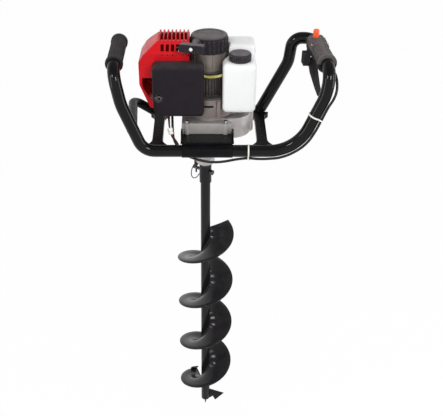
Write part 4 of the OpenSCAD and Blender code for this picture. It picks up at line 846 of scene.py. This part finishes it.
class AUGER_OT_engine(bpy.types.Operator):
    """Crankcase, cylinder, cover, muffler, carburettor and air filter"""
    bl_idname = "auger.engine"
    bl_label = "Engine"

    def execute(self, context):
        paint_nodes("flywheel", "fan_housing", "crankcase", "crankshaft", "connecting_rod", "piston",
                    "cylinder_block", "spark_plug", "cylinder_cover", "muffler_guard", "muffler",
                    "carburettor", "air_filter_base", "air_filter_element", "air_filter_cover",
                    "choke_lever", "ignition_coil")
        return {"FINISHED"}


# The way that the handle is pulled, and where the handle's middle is at rest
PULL = Vector((-0.2694, -0.9630, 0))
PULL_AT = Vector((-0.0294, -0.065, 1.159))

# Rope: reach before and past that place, steps, sides, strands and their twist in radians per metre
ROPE_IN = 0.060
ROPE_OUT = 0.0085
ROPE_STEPS = 90
ROPE_SIDES = 18
STRANDS = 3
ROPE_TWIST = 900

# Knot: its distance along the pull, the turn and radius of each loop, and the loops' rise, steps and waves
KNOT_AT = 0.0098
KNOT_LOOPS = ((0, 0.0022), (70, 0.0020))
KNOT_RISE = 0.0006
KNOT_STEPS = 24
KNOT_SIDES = 12
KNOT_RIPPLE = 0.06


class AUGER_OT_starter(bpy.types.Operator):
    """Starter body, cap, pulley, handle, and the rope with its knot"""
    bl_idname = "auger.starter"
    bl_label = "Starter"

    def execute(self, context):
        s = sizes()
        paint_nodes("starter_body", "starter_cap", "starter_pulley", "starter_handle")
        first, last = PULL_AT - PULL * ROPE_IN, PULL_AT + PULL * ROPE_OUT
        line = [first.lerp(last, k / ROPE_STEPS) for k in range(ROPE_STEPS + 1)]
        me = tube("rope_line", line, s.rope_d / 2, ROPE_SIDES, 0.0, STRANDS, ROPE_TWIST)
        rope = add_piece("rope_line", me, "rope_white", None, ("starter_rope",))
        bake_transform(rope)
        loops = []
        knot = towards(PULL_AT + PULL * KNOT_AT, PULL)
        for turn, size in KNOT_LOOPS:
            ring = []
            for k in range(KNOT_STEPS):
                a = 2 * math.pi * k / KNOT_STEPS
                ring.append(Vector((size * math.cos(a), size * math.sin(a), KNOT_RISE * math.sin(3 * a))))
            loop = tube("loop", ring, s.rope_d / 2, KNOT_SIDES, KNOT_RIPPLE, closed=True)
            loops.append((loop, knot @ Matrix.Rotation(math.radians(turn), 4, "X")))
        add_piece("rope_knot", joined("rope_knot", loops), "rope_white", "handle")
        return {"FINISHED"}


# Distance at which the tank's points are joined, passes of smoothing, and the fewest faces that it may have
TANK_JOIN = 1e-5
TANK_PASSES = 10
TANK_FACES = 1000


class AUGER_OT_tank(bpy.types.Operator):
    """Blow-moulded fuel tank with soft corners, its cap and bracket"""
    bl_idname = "auger.tank"
    bl_label = "Fuel tank"

    def execute(self, context):
        paint_nodes("fuel_cap", "tank_bracket")
        bm = bmesh.new()
        bm.from_mesh(NODES["fuel_tank"].data)
        bmesh.ops.remove_doubles(bm, verts=bm.verts, dist=TANK_JOIN)
        raw = bpy.data.meshes.new("tank_raw")
        bm.to_mesh(raw)
        bm.free()
        raw.materials.clear()
        work = bpy.data.objects.new("tank_work", raw)
        context.scene.collection.objects.link(work)
        even = work.modifiers.new("even", "REMESH")
        even.mode = "VOXEL"
        even.voxel_size = sizes().tank_soft
        soft = work.modifiers.new("soft", "SMOOTH")
        soft.factor = 0.5
        soft.iterations = TANK_PASSES
        me = bpy.data.meshes.new_from_object(work.evaluated_get(context.evaluated_depsgraph_get()))
        bpy.data.objects.remove(work)
        if len(me.polygons) < TANK_FACES:
            raise RuntimeError("the tank's mesh came out empty")
        me.name = "tank_body"
        me.shade_smooth()
        add_piece("tank_body", me, "tank_plastic", "frame", ("fuel_tank",))
        return {"FINISHED"}


# Stage

# Half the floor's side, how far it lies below the tip, and how much of its colour is plain white when seen
FLOOR_HALF = 15.0
FLOOR_DROP = 0.0005
FLOOR_WHITE = 0.97


def lamp(name, place, aim, size, power):
    """A rectangular soft lamp."""
    d = bpy.data.lights.new(name, "AREA")
    d.shape = "RECTANGLE"
    d.size, d.size_y = size
    d.energy = power
    o = bpy.data.objects.new(name, d)
    bpy.context.scene.collection.objects.link(o)
    o.location = place
    o.rotation_euler = (Vector(aim) - Vector(place)).to_track_quat("-Z", "Y").to_euler()


def seen_ray(t):
    """1 for rays that show the background: straight from the camera, by gloss or through glass."""
    p = put(t, "LightPath").outputs
    a = put(t, "Math", {"operation": "MAXIMUM"}, i0=p["Is Camera Ray"], i1=p["Is Glossy Ray"])
    return put(t, "Math", {"operation": "MAXIMUM"}, i0=a.outputs[0], i1=p["Is Transmission Ray"]).outputs[0]


class AUGER_OT_stage(bpy.types.Operator):
    """Floor, sky, lamps and camera"""
    bl_idname = "auger.stage"
    bl_label = "Stage"

    def execute(self, context):
        s = context.scene.auger_stage
        half = FLOOR_HALF
        corners = [(-half, -half, 0), (half, -half, 0), (half, half, 0), (-half, half, 0)]
        me = mesh_of("floor", corners, [(0, 1, 2, 3)])
        floor = bpy.data.objects.new("floor", me)
        context.scene.collection.objects.link(floor)
        floor.location.z = -FLOOR_DROP
        m = bpy.data.materials.new("floor_paper")
        m.use_nodes = True
        t = m.node_tree
        t.nodes.clear()
        matt = put(t, "BsdfDiffuse", Color=list(s.floor) + [1])
        glow = put(t, "Emission", Color=(1, 1, 1, 1), Strength=1.0)
        share = times(t, seen_ray(t), FLOOR_WHITE)
        mix = put(t, "MixShader", i0=share, i1=matt.outputs[0], i2=glow.outputs[0])
        put(t, "OutputMaterial", Surface=mix.outputs[0])
        me.materials.append(m)
        w = bpy.data.worlds.new("sky")
        context.scene.world = w
        w.use_nodes = True
        t = w.node_tree
        t.nodes.clear()
        up = put(t, "SeparateXYZ", Vector=put(t, "TexCoord").outputs["Generated"]).outputs["Z"]
        roof = put(t, "MapRange", {"clamp": True}, Value=up,
                   From_Min=0.35, From_Max=0.75, To_Min=1.0, To_Max=s.roof)
        seen = put(t, "Mix", {"data_type": "FLOAT"}, i0=put(t, "LightPath").outputs["Is Camera Ray"],
                   i2=roof.outputs["Result"], i3=1.0)
        level = put(t, "Mix", {"data_type": "FLOAT"}, i0=seen_ray(t), i2=s.sky, i3=seen.outputs[0])
        sky = put(t, "Background", Color=(1, 1, 1, 1), Strength=level.outputs[0])
        put(t, "OutputWorld", Surface=sky.outputs[0])
        lamp("key", (1.1, -1.9, 2.4), (0, 0, 0.9), (0.72, 0.72), s.key)
        lamp("left", (-1.2, -1.6, 2.5), (0, 0, 0.95), (0.46, 0.46), s.fill)
        lamp("left_strip", (-2.0, -0.9, 1.1), (-0.1, 0, 1.0), (0.40, 1.7), s.fill)
        lamp("right_strip", (2.2, -0.5, 1.1), (0.1, 0, 1.0), (0.40, 1.7), s.fill)
        d = bpy.data.cameras.new("view")
        d.sensor_width = SENSOR_W
        d.lens = s.lens
        d.shift_x = s.shift
        d.clip_start = 0.01
        cam = bpy.data.objects.new("view", d)
        context.scene.collection.objects.link(cam)
        cam.location = s.eye
        cam.rotation_euler = (s.tilt, 0, 0)
        context.scene.camera = cam
        context.scene.view_settings.view_transform = "Standard"
        return {"FINISHED"}


STEPS = (AUGER_OT_stage, AUGER_OT_cords, AUGER_OT_bit, AUGER_OT_handle_frame, AUGER_OT_grips,
         AUGER_OT_gear_case, AUGER_OT_engine, AUGER_OT_starter, AUGER_OT_tank)


class AUGER_PT_dress(bpy.types.Panel):
    """Steps and settings of the earth auger's dress"""
    bl_label = "Earth auger"
    bl_space_type = "VIEW_3D"
    bl_region_type = "UI"
    bl_category = "Auger"

    def draw(self, context):
        for step in STEPS:
            self.layout.operator(step.bl_idname)
        for key in ("auger_colours", "auger_sizes", "auger_stage"):
            box = self.layout.box()
            group = getattr(context.scene, key)
            for name in group.__annotations__:
                box.prop(group, name)


CLASSES = (AugerColours, AugerSizes, AugerStage) + STEPS + (AUGER_PT_dress,)


def register():
    for c in CLASSES:
        bpy.utils.register_class(c)
    bpy.types.Scene.auger_colours = bpy.props.PointerProperty(type=AugerColours)
    bpy.types.Scene.auger_sizes = bpy.props.PointerProperty(type=AugerSizes)
    bpy.types.Scene.auger_stage = bpy.props.PointerProperty(type=AugerStage)


def unregister():
    del bpy.types.Scene.auger_stage
    del bpy.types.Scene.auger_sizes
    del bpy.types.Scene.auger_colours
    for c in reversed(CLASSES):
        bpy.utils.unregister_class(c)


def main():
    """Builds everything in order."""
    register()
    make_finishes()
    bpy.ops.auger.stage()
    bpy.ops.auger.cords()
    bpy.ops.auger.bit()
    bpy.ops.auger.handle_frame()
    bpy.ops.auger.grips()
    bpy.ops.auger.gear_case()
    bpy.ops.auger.engine()
    bpy.ops.auger.starter()
    bpy.ops.auger.tank()


if __name__ == "__main__":
    main()
